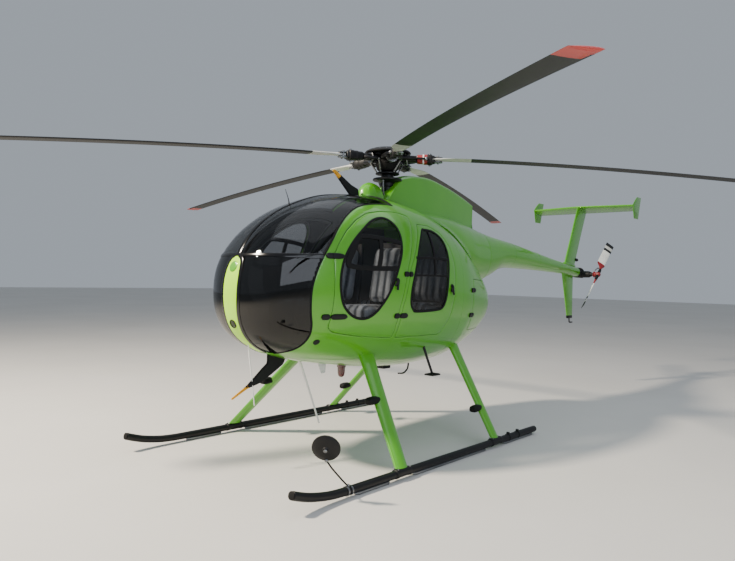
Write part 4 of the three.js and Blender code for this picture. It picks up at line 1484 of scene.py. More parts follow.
@dataclass
class Door:
    """A hinged panel: its painted skin, lining, window, seals, hinges and latch."""

    name: str
    side: Side
    outline: Outline
    window: Outline | None
    hinges: Sequence[tuple[float, float, float, float]]
    latch: Spot | None
    bars: Sequence[Bar] = ()
    gap: float = 0.0045
    skin: float = 0.015
    deep: float = 0.022
    strap_half: float = 0.0245
    glazing: Finish = PALE_SMOKE

    @property
    def body(self) -> str:
        """The CAD body that the door swings with."""
        return f"{self.name}_{self.side.label}"

    def skin_outline(self) -> Array:
        """The painted skin's outline; an engine door has a round bite where the exhaust leaves.

        Returns:
            The outline in side view.
        """
        border = inset(spaced(np.array(self.outline, float), 0.008), self.gap)
        if self.window is not None:
            return border
        pipe = np.array([1.565, 1.340]) + np.array([0.12, 0.094]) * circle(40)
        return border[~within(border, pipe)]

    def leaf(self) -> None:
        """Builds the painted skin, with the window's opening, and the lining behind it."""
        border = self.skin_outline()
        hole = [] if self.window is None else [spaced(np.array(self.window, float), 0.008)]
        outside = Panel(thickness=self.skin).build(flat_side(border), [flat_side(h) for h in hole])
        piece(f"{self.body}_skin", outside.on(self.side), [GREEN, LINING], [self.body], self.body)
        if not hole:
            return
        maker = Panel(thickness=self.deep - self.skin, depth=self.skin + 0.0006, spacing=0.03, drop=0.0)
        lining = maker.build(flat_side(inset(border, 0.030)), [flat_side(inset(hole[0], -0.024))])
        piece(f"{self.body}_lining", lining.on(self.side), [TRIM, TRIM], body=self.body)

    def glass(self) -> None:
        """Builds the pane, its rubber seal and the bars of its sliding part."""
        if self.window is None:
            return
        rim = spaced(np.array(self.window, float), 0.010)
        pane = Panel(thickness=0.005, depth=0.004, drop=0.0).build(flat_side(inset(rim, 0.0006)))
        node = self.body.replace("door", "window")
        piece(f"{node}_pane", pane.on(self.side), [self.glazing, self.glazing], [node], self.body)
        seal = side_ribbon(inset(rim, 0.001), 0.0115, 0.0035, 0.004, True)
        piece(f"{node}_seal", seal.on(self.side), RUBBER, body=self.body)
        whole = Surface()
        for half, bar in self.bars:
            whole.join(side_ribbon(spaced(curve(bar, 80), 0.010, False), half, 0.003, 0.008))
        piece(f"{node}_bars", whole.on(self.side), RUBBER, body=self.body)

    def hinge_covers(self) -> None:
        """Builds the hinges' black straps: rounded bars lying along the skin, two leaves each.

        Each row is the fixed end's station, the pin's station, the moving end's station, and the
        height. The two leaves of the highest hinges meet squarely, the others have rounded ends.
        """
        for k, (fixed, pin, moving, z) in enumerate(self.hinges, 1):
            inner, gap = (0.0, 0.001) if z > SQUARE_HINGES_FROM else (1.0, 0.004)
            for name, body, span, ends in (("fixed", AIRFRAME, (fixed, pin - gap), (-1.0, inner)),
                                           ("moving", self.body, (pin + gap, moving), (-inner, 1.0))):
                share = np.abs(np.linspace(*ends, 18))
                half = self.strap_half * np.sqrt(np.clip(1 - share**5, 0.02, 1))
                line = HULL.side(np.linspace(*span, 18), np.full(18, z))
                strap = ribbon(*line, half, 0.014, 0.001)
                piece(f"{self.body}_hinge_{k}_{name}", strap.on(self.side), BLACK, body=body)

    def latch_handle(self) -> None:
        """Builds the latch: a round boss and a short drooping lever on it."""
        if self.latch is None:
            return
        y, z, lean = self.latch
        at, out = spot_on_hull(y, z)
        boss = turned([(0.020, -0.002), (0.020, 0.006), (0.016, 0.010), (0.003, 0.011)], at, out, 24)
        start = at + out * 0.014
        for fall, long in ((lean, 0.088), (lean - 0.70, 0.066)):
            down = np.array([0.0, fall, -1.0])
            down = units(down - out * (down @ out))
            boss.join(tube([start - down * 0.006, start + down * 0.02, start + down * long * 0.6,
                            start + down * long + out * 0.004], [0.010, 0.011, 0.010, 0.009], 12, 12))
        piece(f"{self.body}_latch", boss.on(self.side), BLACK, body=self.body)

    def frame_seal(self) -> None:
        """Builds the dark rubber strip in the opening's rebate, behind the gap round the door."""
        if self.window is None:
            return
        rim = inset(spaced(np.array(self.outline, float), 0.010), self.gap / 2)
        strip = side_ribbon(rim, 0.007, -0.0175, 0.024, True)
        piece(f"{self.body}_rebate_seal", strip.on(self.side), RUBBER)

    def build(self) -> None:
        """Builds every part of the door."""
        self.frame_seal()
        self.leaf()
        self.glass()
        self.hinge_covers()
        self.latch_handle()


FRONT_DOOR: Outline = (
    (-1.450, 1.190), (-1.400, 1.142), (-1.100, 1.095), (-0.673, 1.062), (-0.682, 1.332), (-0.593, 1.706),
    (-0.420, 2.100), (-0.375, 2.196), (-0.560, 2.222), (-0.750, 2.214), (-0.950, 2.178), (-1.110, 2.106),
    (-1.260, 2.002), (-1.370, 1.892), (-1.450, 1.780),
)
FRONT_WINDOW: Outline = (
    (-1.104, 1.252), (-0.993, 1.287), (-0.891, 1.394), (-0.801, 1.534), (-0.725, 1.700), (-0.664, 1.848),
    (-0.640, 1.980), (-0.655, 2.071), (-0.716, 2.131), (-0.793, 2.146), (-0.900, 2.122), (-1.015, 2.064),
    (-1.203, 1.926), (-1.328, 1.785), (-1.384, 1.649), (-1.390, 1.511), (-1.347, 1.378), (-1.237, 1.284),
)
REAR_DOOR: Outline = (
    (-0.637, 1.062), (0.030, 1.062), (0.130, 1.200), (0.190, 1.450), (0.200, 1.750), (0.170, 1.930),
    (0.080, 2.060), (-0.100, 2.128), (-0.310, 2.128), (-0.557, 1.706), (-0.646, 1.332),
)
REAR_WINDOW: Outline = (
    (-0.493, 1.323), (-0.430, 1.303), (-0.119, 1.312), (-0.020, 1.340), (0.028, 1.440), (0.060, 1.650),
    (0.086, 1.810), (0.084, 1.923), (0.050, 2.010), (-0.060, 2.070), (-0.200, 2.080), (-0.270, 2.062),
    (-0.398, 1.898), (-0.483, 1.703), (-0.539, 1.519), (-0.540, 1.390),
)
ENGINE_DOOR: Outline = (
    (0.620, 1.075), (1.600, 1.075), (1.600, 1.560), (1.300, 1.590), (0.620, 1.620),
)
# Each bar: its half width and the points that it runs through.
SLIDER: Sequence[Bar] = (
    (0.0200, ((-0.655, 1.925), (-0.80, 1.945), (-1.00, 1.960), (-1.12, 1.958), (-1.172, 1.935))),
    (0.0270, ((-1.150, 1.950), (-1.200, 1.895), (-1.260, 1.810), (-1.305, 1.740), (-1.300, 1.697))),
    (0.0210, ((-1.310, 1.705), (-1.20, 1.690), (-1.00, 1.688), (-0.85, 1.690), (-0.735, 1.694))),
    (0.0220, ((-0.905, 1.955), (-0.925, 1.83), (-0.970, 1.690))),
)
REAR_BARS: Sequence[Bar] = (
    (0.0125, ((-0.470, 1.800), (-0.30, 1.806), (-0.10, 1.806), (0.080, 1.800))),
    (0.0135, ((-0.160, 2.060), (-0.160, 1.90), (-0.165, 1.72), (-0.170, 1.637))),
    (0.0090, ((-0.505, 1.637), (-0.30, 1.640), (-0.10, 1.640), (0.055, 1.637))),
)
# The leaves of hinges above this height meet squarely.
SQUARE_HINGES_FROM = 1.7


def doors() -> list[Door]:
    """The six hinged panels, left and right.

    Returns:
        The doors.
    """
    rows = [
        dict(name="front_door", outline=softened(FRONT_DOOR), window=flowing(FRONT_WINDOW), bars=SLIDER,
             hinges=[(-1.515, -1.456, -1.345, 1.777), (-1.535, -1.456, -1.290, 1.277)],
             latch=(-0.742, 1.590, -0.15)),
        dict(name="rear_door", outline=softened(REAR_DOOR), window=flowing(REAR_WINDOW), bars=REAR_BARS,
             hinges=[(-0.655, -0.587, -0.540, 1.646), (-0.735, -0.664, -0.566, 1.270)],
             latch=(0.115, 1.543, 0.2), deep=0.026, glazing=ROOF_SMOKE),
        dict(name="engine_door", outline=softened(ENGINE_DOOR), window=None,
             hinges=[(0.560, 0.606, 0.665, 1.500), (0.560, 0.606, 0.665, 1.240)], latch=None),
    ]
    return [Door(side=side, **row) for side in Side for row in rows]


@dataclass
class UpperWorks:
    """What sits on the egg: the deck that runs into the boom, the rotor fairing, inlet and mast."""

    deck: Array = field(default_factory=lambda: np.array([
        # y, top, bottom, half width
        (0.150, 2.332, 1.900, 0.240), (0.450, 2.338, 1.800, 0.300), (0.800, 2.322, 1.700, 0.318),
        (1.100, 2.288, 1.610, 0.296), (1.340, 2.250, 1.560, 0.262), (1.600, 2.200, 1.590, 0.226),
    ]))
    fairing: Array = field(default_factory=lambda: np.array([
        # y, top, half width above, half width below
        (-0.235, 2.395, 0.112, 0.128), (-0.150, 2.500, 0.114, 0.134), (0.010, 2.655, 0.112, 0.140),
        (0.230, 2.700, 0.110, 0.140), (0.470, 2.712, 0.102, 0.132), (0.900, 2.658, 0.074, 0.100),
        (1.250, 2.585, 0.038, 0.058), (1.500, 2.515, 0.008, 0.014),
    ]))
    fairing_floor: float = 2.120
    inlet_floor: float = 2.335
    mast_y: float = -0.100

    def deck_half(self, y: Array, z: Array) -> Array:
        """Half width of the deck's oval at a station and height, zero outside it.

        Args:
            y: Stations.
            z: Heights.

        Returns:
            The half widths.
        """
        top, low, half = smooth_rows(self.deck, y)
        s = (z - (top + low) / 2) / ((top - low) / 2)
        return half * np.sqrt(np.clip(1 - s**2, 0, 1))

    def hull_half(self, y: Array, z: Array) -> Array:
        """Half width of the egg at a station and height, zero outside it.

        Args:
            y: Stations.
            z: Heights.

        Returns:
            The half widths.
        """
        m = HULL.root(y)
        middle, half = HULL.oval(m)
        s = np.clip(np.abs(z - middle) / half, 0, 1)
        return HULL.width(m) * (1 - s**HULL.power) ** (1 / HULL.power)

    def build_deck(self) -> None:
        """Builds the deck as a shoulder that flows into the egg.

        At each station and height its half width is that of the deck's oval; where the egg lies
        near, the two are joined by a fillet: half the sum of both plus half the root of their
        squared difference and the fillet's squared size, faded out towards the boom.
        """
        y = np.linspace(self.deck[0, 0], self.deck[-1, 0], 90)[:, None]
        top, low, _ = smooth_rows(self.deck, y)
        z = (top + low) / 2 + (top - low) / 2 * np.sin(np.linspace(-np.pi / 2, np.pi / 2, 40))
        stations = np.broadcast_to(y, z.shape)
        deck, egg = self.deck_half(stations, z), self.hull_half(stations, z)
        size = 0.10 * np.clip((1.55 - stations) / 0.6, 0, 1) * np.clip((stations - 0.12) / 0.35, 0, 1)
        near = egg > 0.02
        blended = (deck + egg) / 2 + np.sqrt((deck - egg) ** 2 + size**2 * near) / 2
        inside = egg > deck + 0.07
        x = np.where(inside, np.minimum(deck, egg - 0.004), np.where(near, blended, deck))
        x[:, [0, -1]] = 0.0
        left = spots(x, stations, z)
        right = (left * MIRRORED)[:, -2:0:-1]
        piece("boom_deck", rings_surface(np.concatenate([left, right], 1)), GREEN, ["upper_deck"], sharp=50)

    def build_fairing(self) -> None:
        """Builds the tall fairing behind the mast: flat sides, a rounded spine and rolled front.

        Each ring runs up one flank, over the spine and down the other. Over the spine it is half a
        turn, whose cosine and sine are raised to the power 0.75 to square its shoulders. The lower
        edge flares a little where it meets the deck.
        """
        y = np.linspace(self.fairing[0, 0], self.fairing[-1, 0], 90)[:, None]
        top, high, low = smooth_rows(self.fairing, y)
        u, spine = np.linspace(0, 1, 12), np.linspace(0, np.pi, 18)
        height = np.minimum(0.055, (top - self.fairing_floor) * 0.3)
        shoulder = top - height
        flank_x = low + (high - low) * u**0.8 + 0.020 * np.exp(-u * 9.0)
        flank_z = self.fairing_floor + (shoulder - self.fairing_floor) * u
        over_x = high * signed_power(np.cos(spine), 0.75)
        over_z = shoulder + height * np.sin(spine) ** 0.75
        x = np.concatenate([flank_x, over_x[:, 1:-1], -flank_x[:, ::-1]], 1)
        z = np.concatenate([flank_z, over_z[:, 1:-1], flank_z[:, ::-1]], 1)
        piece("rotor_pylon", rings_surface(spots(x, y, z)), GREEN, ["rotor_fairing"], sharp=40)
        trail = [(0.0, 1.494, 2.125), (0.0, 1.497, 2.30), (0.0, 1.500, 2.506)]
        piece("pylon_tail_edge", tube(trail, 0.011, 12, 20), GREEN)

    def build_inlet(self) -> None:
        """Builds the inlet dome ahead of the mast and the black roof collar round both."""
        # Station, top, half width
        rows = np.array([(-0.520, 2.380, 0.010), (-0.500, 2.470, 0.062), (-0.450, 2.532, 0.096),
                         (-0.380, 2.556, 0.112), (-0.300, 2.546, 0.112), (-0.270, 2.530, 0.106)])
        y = np.linspace(rows[0, 0], rows[-1, 0], 30)[:, None]
        top, half = smooth_rows(rows, y)
        turn = np.linspace(0, np.pi, 28)
        z = self.inlet_floor + (top - self.inlet_floor) * np.sin(turn) ** 0.9
        piece("inlet_dome", rings_surface(spots(half * np.cos(turn), y, z)), GREEN, ["inlet_cowl"])
        turn, reach = turns(64), np.linspace(0.05, 1, 14)[:, None]
        x, y = 0.228 * reach * np.cos(turn), -0.200 + 0.312 * reach * np.sin(turn)
        m = HULL.root(y)
        middle, half = HULL.oval(m)
        roof = middle + half * (1 - np.abs(x / HULL.width(m)) ** HULL.power) ** (1 / HULL.power)
        upper = spots(x, y, roof + np.where(reach > 0.96, -0.002, 0.004))
        lower = upper[::-1] - [0, 0, 0.02]
        piece("roof_collar", rings_surface(np.concatenate([upper, lower])), BLACK)

    def build_mast(self) -> None:
        """Builds the mast's base, boot and standing swashplate, and the rods that tilt it."""
        centre = (0.0, self.mast_y, 0.0)
        ribs = [(0.078 - 0.024 * k / 8 + (0.005 if k % 2 else 0.0), 2.335 + 0.014 * k) for k in range(9)]
        rows = [(0.088, 2.300), (0.088, 2.325), (0.080, 2.330), *ribs, (0.060, 2.462), (0.060, 2.540),
                (0.072, 2.550), (0.074, 2.580), (0.096, 2.592), (0.146, 2.604), (0.151, 2.609),
                (0.151, 2.620), (0.144, 2.627), (0.080, 2.634), (0.064, 2.640), (0.064, 2.663),
                (0.050, 2.665)]
        piece("mast_and_swashplate", turned(rows, centre, sides=48), ANODISED, ["mast"])
        whole = Surface()
        for bearing in (20, 140, 260):
            a = math.radians(bearing)
            d = np.array([math.sin(a), -math.cos(a), 0.0])
            foot, head = (np.array(centre) + d * r + [0, 0, z] for r, z in ((0.074, 2.40), (0.122, 2.594)))
            whole.join(tube([foot, (foot + head) / 2 + d * 0.01, head], 0.0085, 12, 8))
            whole.join(ball(foot, 0.014)).join(ball(head, 0.014))
        piece("control_rods", whole, STEEL)


def ball(centre: Sequence[float], radius: float, squash: float = 1.0) -> Surface:
    """A round boss: a circle's radius and height from pole to pole, turned about the upright.

    Args:
        centre: Its middle.
        radius: Its radius.
        squash: Its height as a share of its width.

    Returns:
        The closed surface.
    """
    a = np.linspace(-np.pi / 2 + 0.15, np.pi / 2 - 0.15, 9)
    rows = np.stack([radius * np.cos(a), radius * squash * np.sin(a)], -1)
    return turned(rows.tolist(), centre, sides=16)


def rounded_bar(rows: Sequence[Sequence[float]], place: Place, power: float = 3.2,
                sides: int = 28) -> Surface:
    """A bar of squared-oval section along a place function's first coordinate.

    Each row gives the distance along, the offset of the middle, half width and half height. A point
    at turn t lies half width cos(t)^(2/power) across and half height sin(t)^(2/power) up.

    Args:
        rows: Distance, offset across, half width, offset up and half height.
        place: Gives points from distance, across and up.
        power: Squareness of the section.
        sides: Corners of each ring.

    Returns:
        The closed surface.
    """
    along, off, wide, lift, high = np.array(rows, float).T[:, :, None]
    c, s = signed_power(circle(sides), 2 / power).T
    return rings_surface(place(along, off + wide * c, lift + high * s))


def offset_place(x: float, y: float, z: float) -> Place:
    """A function that puts a bar along y: distance as station, across as x and up as z.

    Args:
        x: Where distance across is zero.
        y: Station of the bar's zero.
        z: Height of the bar's zero.

    Returns:
        The place function.
    """

    def put(along: Number, across: Number, up: Number) -> Array:
        """Points in space for distance, across and up."""
        return spots(x + across, y + along, z + up)

    return put


def upright_place(x: float, y: float, z: float) -> Place:
    """A function that puts a bar upright: distance as height, across as x and up as station.

    Args:
        x: Where distance across is zero.
        y: Station of the bar's zero.
        z: Height of the bar's zero.

    Returns:
        The place function.
    """

    def put(along: Number, across: Number, up: Number) -> Array:
        """Points in space for distance, across and up."""
        return spots(x + across, y + up, z + along)

    return put


@dataclass
class MainRotor:
    """The five-blade rotor: hub, grips, dampers, pitch links and drooping blades."""

    centre: Spot = (0.0, -0.100, 2.831)
    radius: float = 4.025
    chord: float = 0.171
    blades: Sequence[tuple[float, float]] = (
        # bearing from the nose towards the left side in degrees, height of the tip
        (-21.0, 2.590), (52.5, 2.590), (124.5, 2.550), (195.1, 2.520), (266.2, 2.550),
    )
    root_end: float = 0.85
    tip_band: float = 0.16
    body: str = "main_rotor"
    banded_grip: int = 3
    link_foot: float = 2.692

    def place(self, bearing: float, tip: float) -> Place:
        """A function that puts distance, offset towards the leading edge and height in space.

        The blade's line sinks with the distance r by (tip - hub height) (r / radius)^1.6.

        Args:
            bearing: The blade's bearing in degrees.
            tip: Height of its tip.

        Returns:
            The place function.
        """
        a = math.radians(bearing)
        along = np.array([math.sin(a), -math.cos(a), 0.0])
        across = np.array([-along[1], along[0], 0.0])

        def put(r: Number, off: Number, up: Number) -> Array:
            """Points in space for distance, offset and height.

            Args:
                r: Distance.
                off: Offset towards the leading edge.
                up: Height.

            Returns:
                The points.
            """
            sink = (tip - self.centre[2]) * (np.clip(r, 0, None) / self.radius) ** 1.6
            local = spots(r, off, up + sink)
            return np.array(self.centre) + local @ np.array([along, across, UPWARD])

        return put

    def blade(self, number: int, bearing: float, tip: float) -> None:
        """Builds one blade: pale root, dark span and red tip, with a cambered section.

        Half the thickness at a share c of the chord follows the same curve as the fins'; the mean
        line rises by 8 percent of the thickness times 4 c (1 - c).

        Args:
            number: The blade's number.
            bearing: Its bearing in degrees.
            tip: Height of its tip.
        """
        rows = np.array([
            # distance, chord, thickness
            (0.4310, 0.062, 0.034), (0.480, 0.070, 0.036), (0.540, 0.082, 0.034), (0.600, 0.118, 0.030),
            (0.660, 0.152, 0.026), (0.740, self.chord, 0.024), (1.7, self.chord, 0.021),
            (3.0, self.chord, 0.021), (self.radius - 0.04, self.chord, 0.018),
            (self.radius - 0.004, self.chord * 0.995, 0.013), (self.radius, self.chord * 0.985, 0.004),
        ])
        at = np.concatenate([rows[:6, 0], [self.root_end - 0.001, self.root_end + 0.001],
                             np.linspace(0.93, self.radius - self.tip_band - 0.05, 36),
                             [self.radius - self.tip_band, self.radius - self.tip_band + 0.002,
                              self.radius - 0.08], rows[8:, 0]])
        table = spread_sections(rows, at)
        c = chord_shares(18)
        half = foil_half(c, 0.03)
        camber = 0.08 * 4 * c * (1 - c)
        share = np.concatenate([c, c[-2:0:-1]])
        rise = np.concatenate([half + camber, (-half + camber)[-2:0:-1]])
        put = self.place(bearing, tip)
        surface = rings_surface(put(table[:, :1], (0.25 - share) * table[:, 1:2], rise * table[:, 2:3]))
        band = np.searchsorted([self.root_end, self.radius - self.tip_band], (at[:-1] + at[1:]) / 2, "right")
        surface.quad_finish = np.repeat(band, len(share))
        surface.tri_finish = np.repeat([0, 2], len(share))
        node = f"main_blade_{number}"
        piece(f"{node}_airfoil", surface, [GREY, BLADE, RED], [node], self.body, sharp=60)
        front = c < 0.16
        strip = self.abrasion_strip(put, table[(at > 0.9) & (at < self.radius - 0.05)], c[front],
                                    (camber + half)[front], (camber - half)[front])
        piece(f"{node}_leading_strip", strip, ANODISED, body=self.body)

    @staticmethod
    def abrasion_strip(put: Place, table: Array, c: Array, upper: Array, lower: Array) -> Surface:
        """A thin metal cap round a blade's leading edge, a few tenths of a millimetre proud.

        Args:
            put: The blade's place function.
            table: Distance, chord and thickness along the capped stretch.
            c: Shares of the chord that it covers.
            upper: The section's height there, above.
            lower: The section's height there, below.

        Returns:
            The closed surface.
        """
        share = np.concatenate([c[::-1], c[1:]])
        rise = np.concatenate([upper[::-1], lower[1:]])
        off = (0.25 - share) * table[:, 1:2] + 0.0004
        up = rise * table[:, 2:3] * 1.012 + np.sign(rise) * 0.0003
        inner = put(table[:, :1], off - 0.0008, up * 0.94)[:, ::-1]
        return rings_surface(np.concatenate([put(table[:, :1], off, up), inner], 1))

    def grip(self, number: int, bearing: float, tip: float) -> None:
        """Builds one blade's grip, collar and pins, then its damper and its pitch link.

        Args:
            number: The blade's number.
            bearing: Its bearing in degrees.
            tip: Height of its tip.
        """
        put = self.place(bearing, tip)
        housing = [
            (0.085, 0, 0.030, 0, 0.026), (0.100, 0, 0.036, 0, 0.031), (0.150, 0, 0.037, 0, 0.032),
            (0.156, 0, 0.044, 0, 0.036), (0.176, 0, 0.044, 0, 0.036), (0.182, 0, 0.038, 0, 0.033),
            (0.292, 0, 0.040, 0, 0.034), (0.306, 0, 0.050, 0, 0.042), (0.314, 0, 0.052, 0, 0.045),
            (0.356, 0, 0.052, 0, 0.045), (0.361, 0, 0.054, 0, 0.050), (0.374, 0, 0.054, 0, 0.050),
            (0.376, 0, 0.054, 0, 0.050), (0.406, 0, 0.054, 0, 0.050), (0.411, 0, 0.056, 0, 0.053),
            (0.450, 0, 0.056, 0, 0.053), (0.456, 0, 0.050, 0, 0.044), (0.478, 0, 0.047, 0, 0.040),
            (0.484, 0, 0.040, 0, 0.032), (0.486, 0, 0.030, 0, 0.020),
        ]
        body = rounded_bar(housing, put)
        if number == self.banded_grip:
            # Black, then maroon with a white ring in it, then black.
            ends = np.array(housing)[:, 0]
            band = np.searchsorted([0.306, 0.361, 0.375, 0.408], (ends[:-1] + ends[1:]) / 2, "right")
            body.quad_finish = np.repeat(np.array([0, 1, 2, 1, 0])[band], 28)
        piece(f"grip_{number}_housing", body, [BLACK, MAROON, WHITE], body=self.body)
        lug = Surface()
        for level in (-1.0, 1.0):
            cheek = [(0.470, 0, 0.026, level * 0.026, 0.006), (0.478, 0, 0.034, level * 0.026, 0.007),
                     (0.510, 0, 0.037, level * 0.025, 0.006), (0.545, 0, 0.035, level * 0.024, 0.005),
                     (0.560, 0, 0.022, level * 0.023, 0.004)]
            lug.join(rounded_bar(cheek, put, 4.0))
        piece(f"grip_{number}_cheeks", lug, STEEL, body=self.body)
        pins = Surface()
        for r, off, tall in ((0.514, 0.019, 0.032), (0.514, -0.019, 0.032), (0.430, 0.0, 0.058)):
            pins.join(turned([
                (0.0055, -tall - 0.008), (0.0105, -tall - 0.006), (0.0105, -tall + 0.004),
                (0.0075, -tall + 0.005), (0.0075, tall - 0.005), (0.0125, tall - 0.004),
                (0.0125, tall + 0.006), (0.006, tall + 0.009),
            ], put(r, off, 0.0), sides=12))
        piece(f"grip_{number}_pins", pins, STEEL, body=self.body)
        collar = [(0.040, 0.0), (0.058, 0.0), (0.062, 0.004), (0.062, 0.012), (0.058, 0.016), (0.040, 0.016)]
        ring = turned(collar, put(0.192, 0.0, 0.0), put(1.0, 0.0, 0.0) - put(0.9, 0.0, 0.0), 36)
        piece(f"grip_{number}_collar", ring, STEEL, body=self.body)
        self.damper(number, put)
        self.pitch_link(number, put)

    def damper(self, number: int, put: Place) -> None:
        """Builds a blade's damper, a stepped cylinder beside its grip, with both end bearings.

        Args:
            number: The blade's number.
            put: Its place function.
        """
        start, end = put(0.120, -0.078, 0.006), put(0.395, -0.060, 0.0)
        long = float(np.linalg.norm(end - start))
        rows = [(0.008, 0.0), (0.013, 0.004), (0.013, 0.03), (0.0235, 0.034), (0.0235, long * 0.62),
                (0.019, long * 0.63), (0.010, long * 0.635), (0.010, long - 0.02), (0.015, long - 0.018),
                (0.015, long - 0.002), (0.006, long)]
        piece(f"damper_{number}", turned(rows, start, end - start, 20), ANODISED, body=self.body)
        ends = Surface().join(ball(start, 0.019, 1.1)).join(ball(end, 0.018, 1.1))
        bridge = tube([put(0.10, -0.02, 0.004), put(0.112, -0.05, 0.006), start], 0.012, 12, 8)
        piece(f"damper_{number}_ends", ends.join(bridge), STEEL, body=self.body)

    def pitch_link(self, number: int, put: Place) -> None:
        """Builds a blade's pitch horn and the link from its tip down to the turning swashplate.

        Args:
            number: The blade's number.
            put: Its place function.
        """
        path = [put(0.290, 0.040, -0.008), put(0.262, 0.072, -0.014), put(0.205, 0.094, -0.020),
                put(0.160, 0.100, -0.022)]
        horn = tube(path, [0.020, 0.017, 0.0135, 0.011], 14, 18)
        piece(f"pitch_horn_{number}", horn, ANODISED, body=self.body)
        top, low = put(0.158, 0.100, -0.024), put(0.104, 0.045, 0.0)
        low[2] = self.link_foot
        path = [low + (top - low) * share for share in (0.0, 0.2, 0.5, 0.8, 1.0)]
        link = tube(path, [0.0055, 0.0085, 0.0085, 0.0085, 0.0055], 12, 16)
        link.join(ball(low, 0.0125)).join(ball(top, 0.0145))
        piece(f"pitch_link_{number}", link, STEEL, body=self.body)

    def hub(self) -> None:
        """Builds the turning swashplate, the hub's plates and barrel, the domed cover, and their bolts."""
        centre = (0.0, self.centre[1], 0.0)
        rows = [(0.056, 2.668), (0.117, 2.669), (0.123, 2.673), (0.123, 2.682), (0.117, 2.687),
                (0.070, 2.692), (0.058, 2.696), (0.050, 2.700), (0.045, 2.706)]
        piece("turning_swashplate", turned(rows, centre, sides=48), ANODISED, ["main_rotor_hub"], self.body)
        c, s = circle(160).T
        # The plates reach out in a rounded lobe towards each blade.
        lobes = np.zeros(160)
        for bearing, _ in self.blades:
            gap = (turns(160) - math.radians(bearing) + 1.5 * np.pi) % (2 * np.pi) - np.pi
            lobes += np.exp(-((gap / 0.34) ** 4))
        reach = (0.122 + 0.052 * lobes) * np.array([0.985, 1.0, 1.0, 0.985])[:, None]
        for name, heights in (("hub_lower_plate", (2.776, 2.780, 2.792, 2.796)),
                              ("hub_upper_plate", (2.864, 2.868, 2.878, 2.882))):
            rings = spots(reach * c, self.centre[1] + reach * s, np.array(heights)[:, None])
            piece(name, rings_surface(rings), ANODISED, body=self.body, sharp=50)
        # The barrel narrows downwards to the drive tube.
        barrel = [(0.045, 2.698), (0.088, 2.702), (0.110, 2.722), (0.124, 2.770), (0.134, 2.800),
                  (0.134, 2.862), (0.120, 2.874), (0.060, 2.876)]
        piece("hub_barrel", turned(barrel, centre, sides=48), RUBBER, body=self.body)
        dome = [(0.100, 2.878), (0.228, 2.880), (0.236, 2.884), (0.237, 2.891), (0.228, 2.902),
                (0.200, 2.917), (0.160, 2.930), (0.110, 2.940), (0.060, 2.946), (0.006, 2.948)]
        piece("hub_dome", turned(dome, centre, sides=64), BLACK, body=self.body)
        c, s = circle(20).T
        screws = studs(spots(0.218 * c, self.centre[1] + 0.218 * s, 2.9055), UPWARD, 0.0065, 0.005)
        piece("dome_screws", screws, STEEL, body=self.body)
        bolt = [(0.008, -0.062), (0.016, -0.060), (0.016, -0.050), (0.010, -0.048), (0.010, 0.060),
                (0.017, 0.061), (0.017, 0.071), (0.008, 0.074)]
        bolts = Surface()
        for row in self.blades:
            bolts.join(turned(bolt, self.place(*row)(0.150, 0.0, 0.0), sides=12))
        piece("hub_bolts", bolts, STEEL, body=self.body)

    def build(self) -> None:
        """Builds hub, grips and blades."""
        self.hub()
        for number, (bearing, tip) in enumerate(self.blades, 1):
            self.grip(number, bearing, tip)
            self.blade(number, bearing, tip)


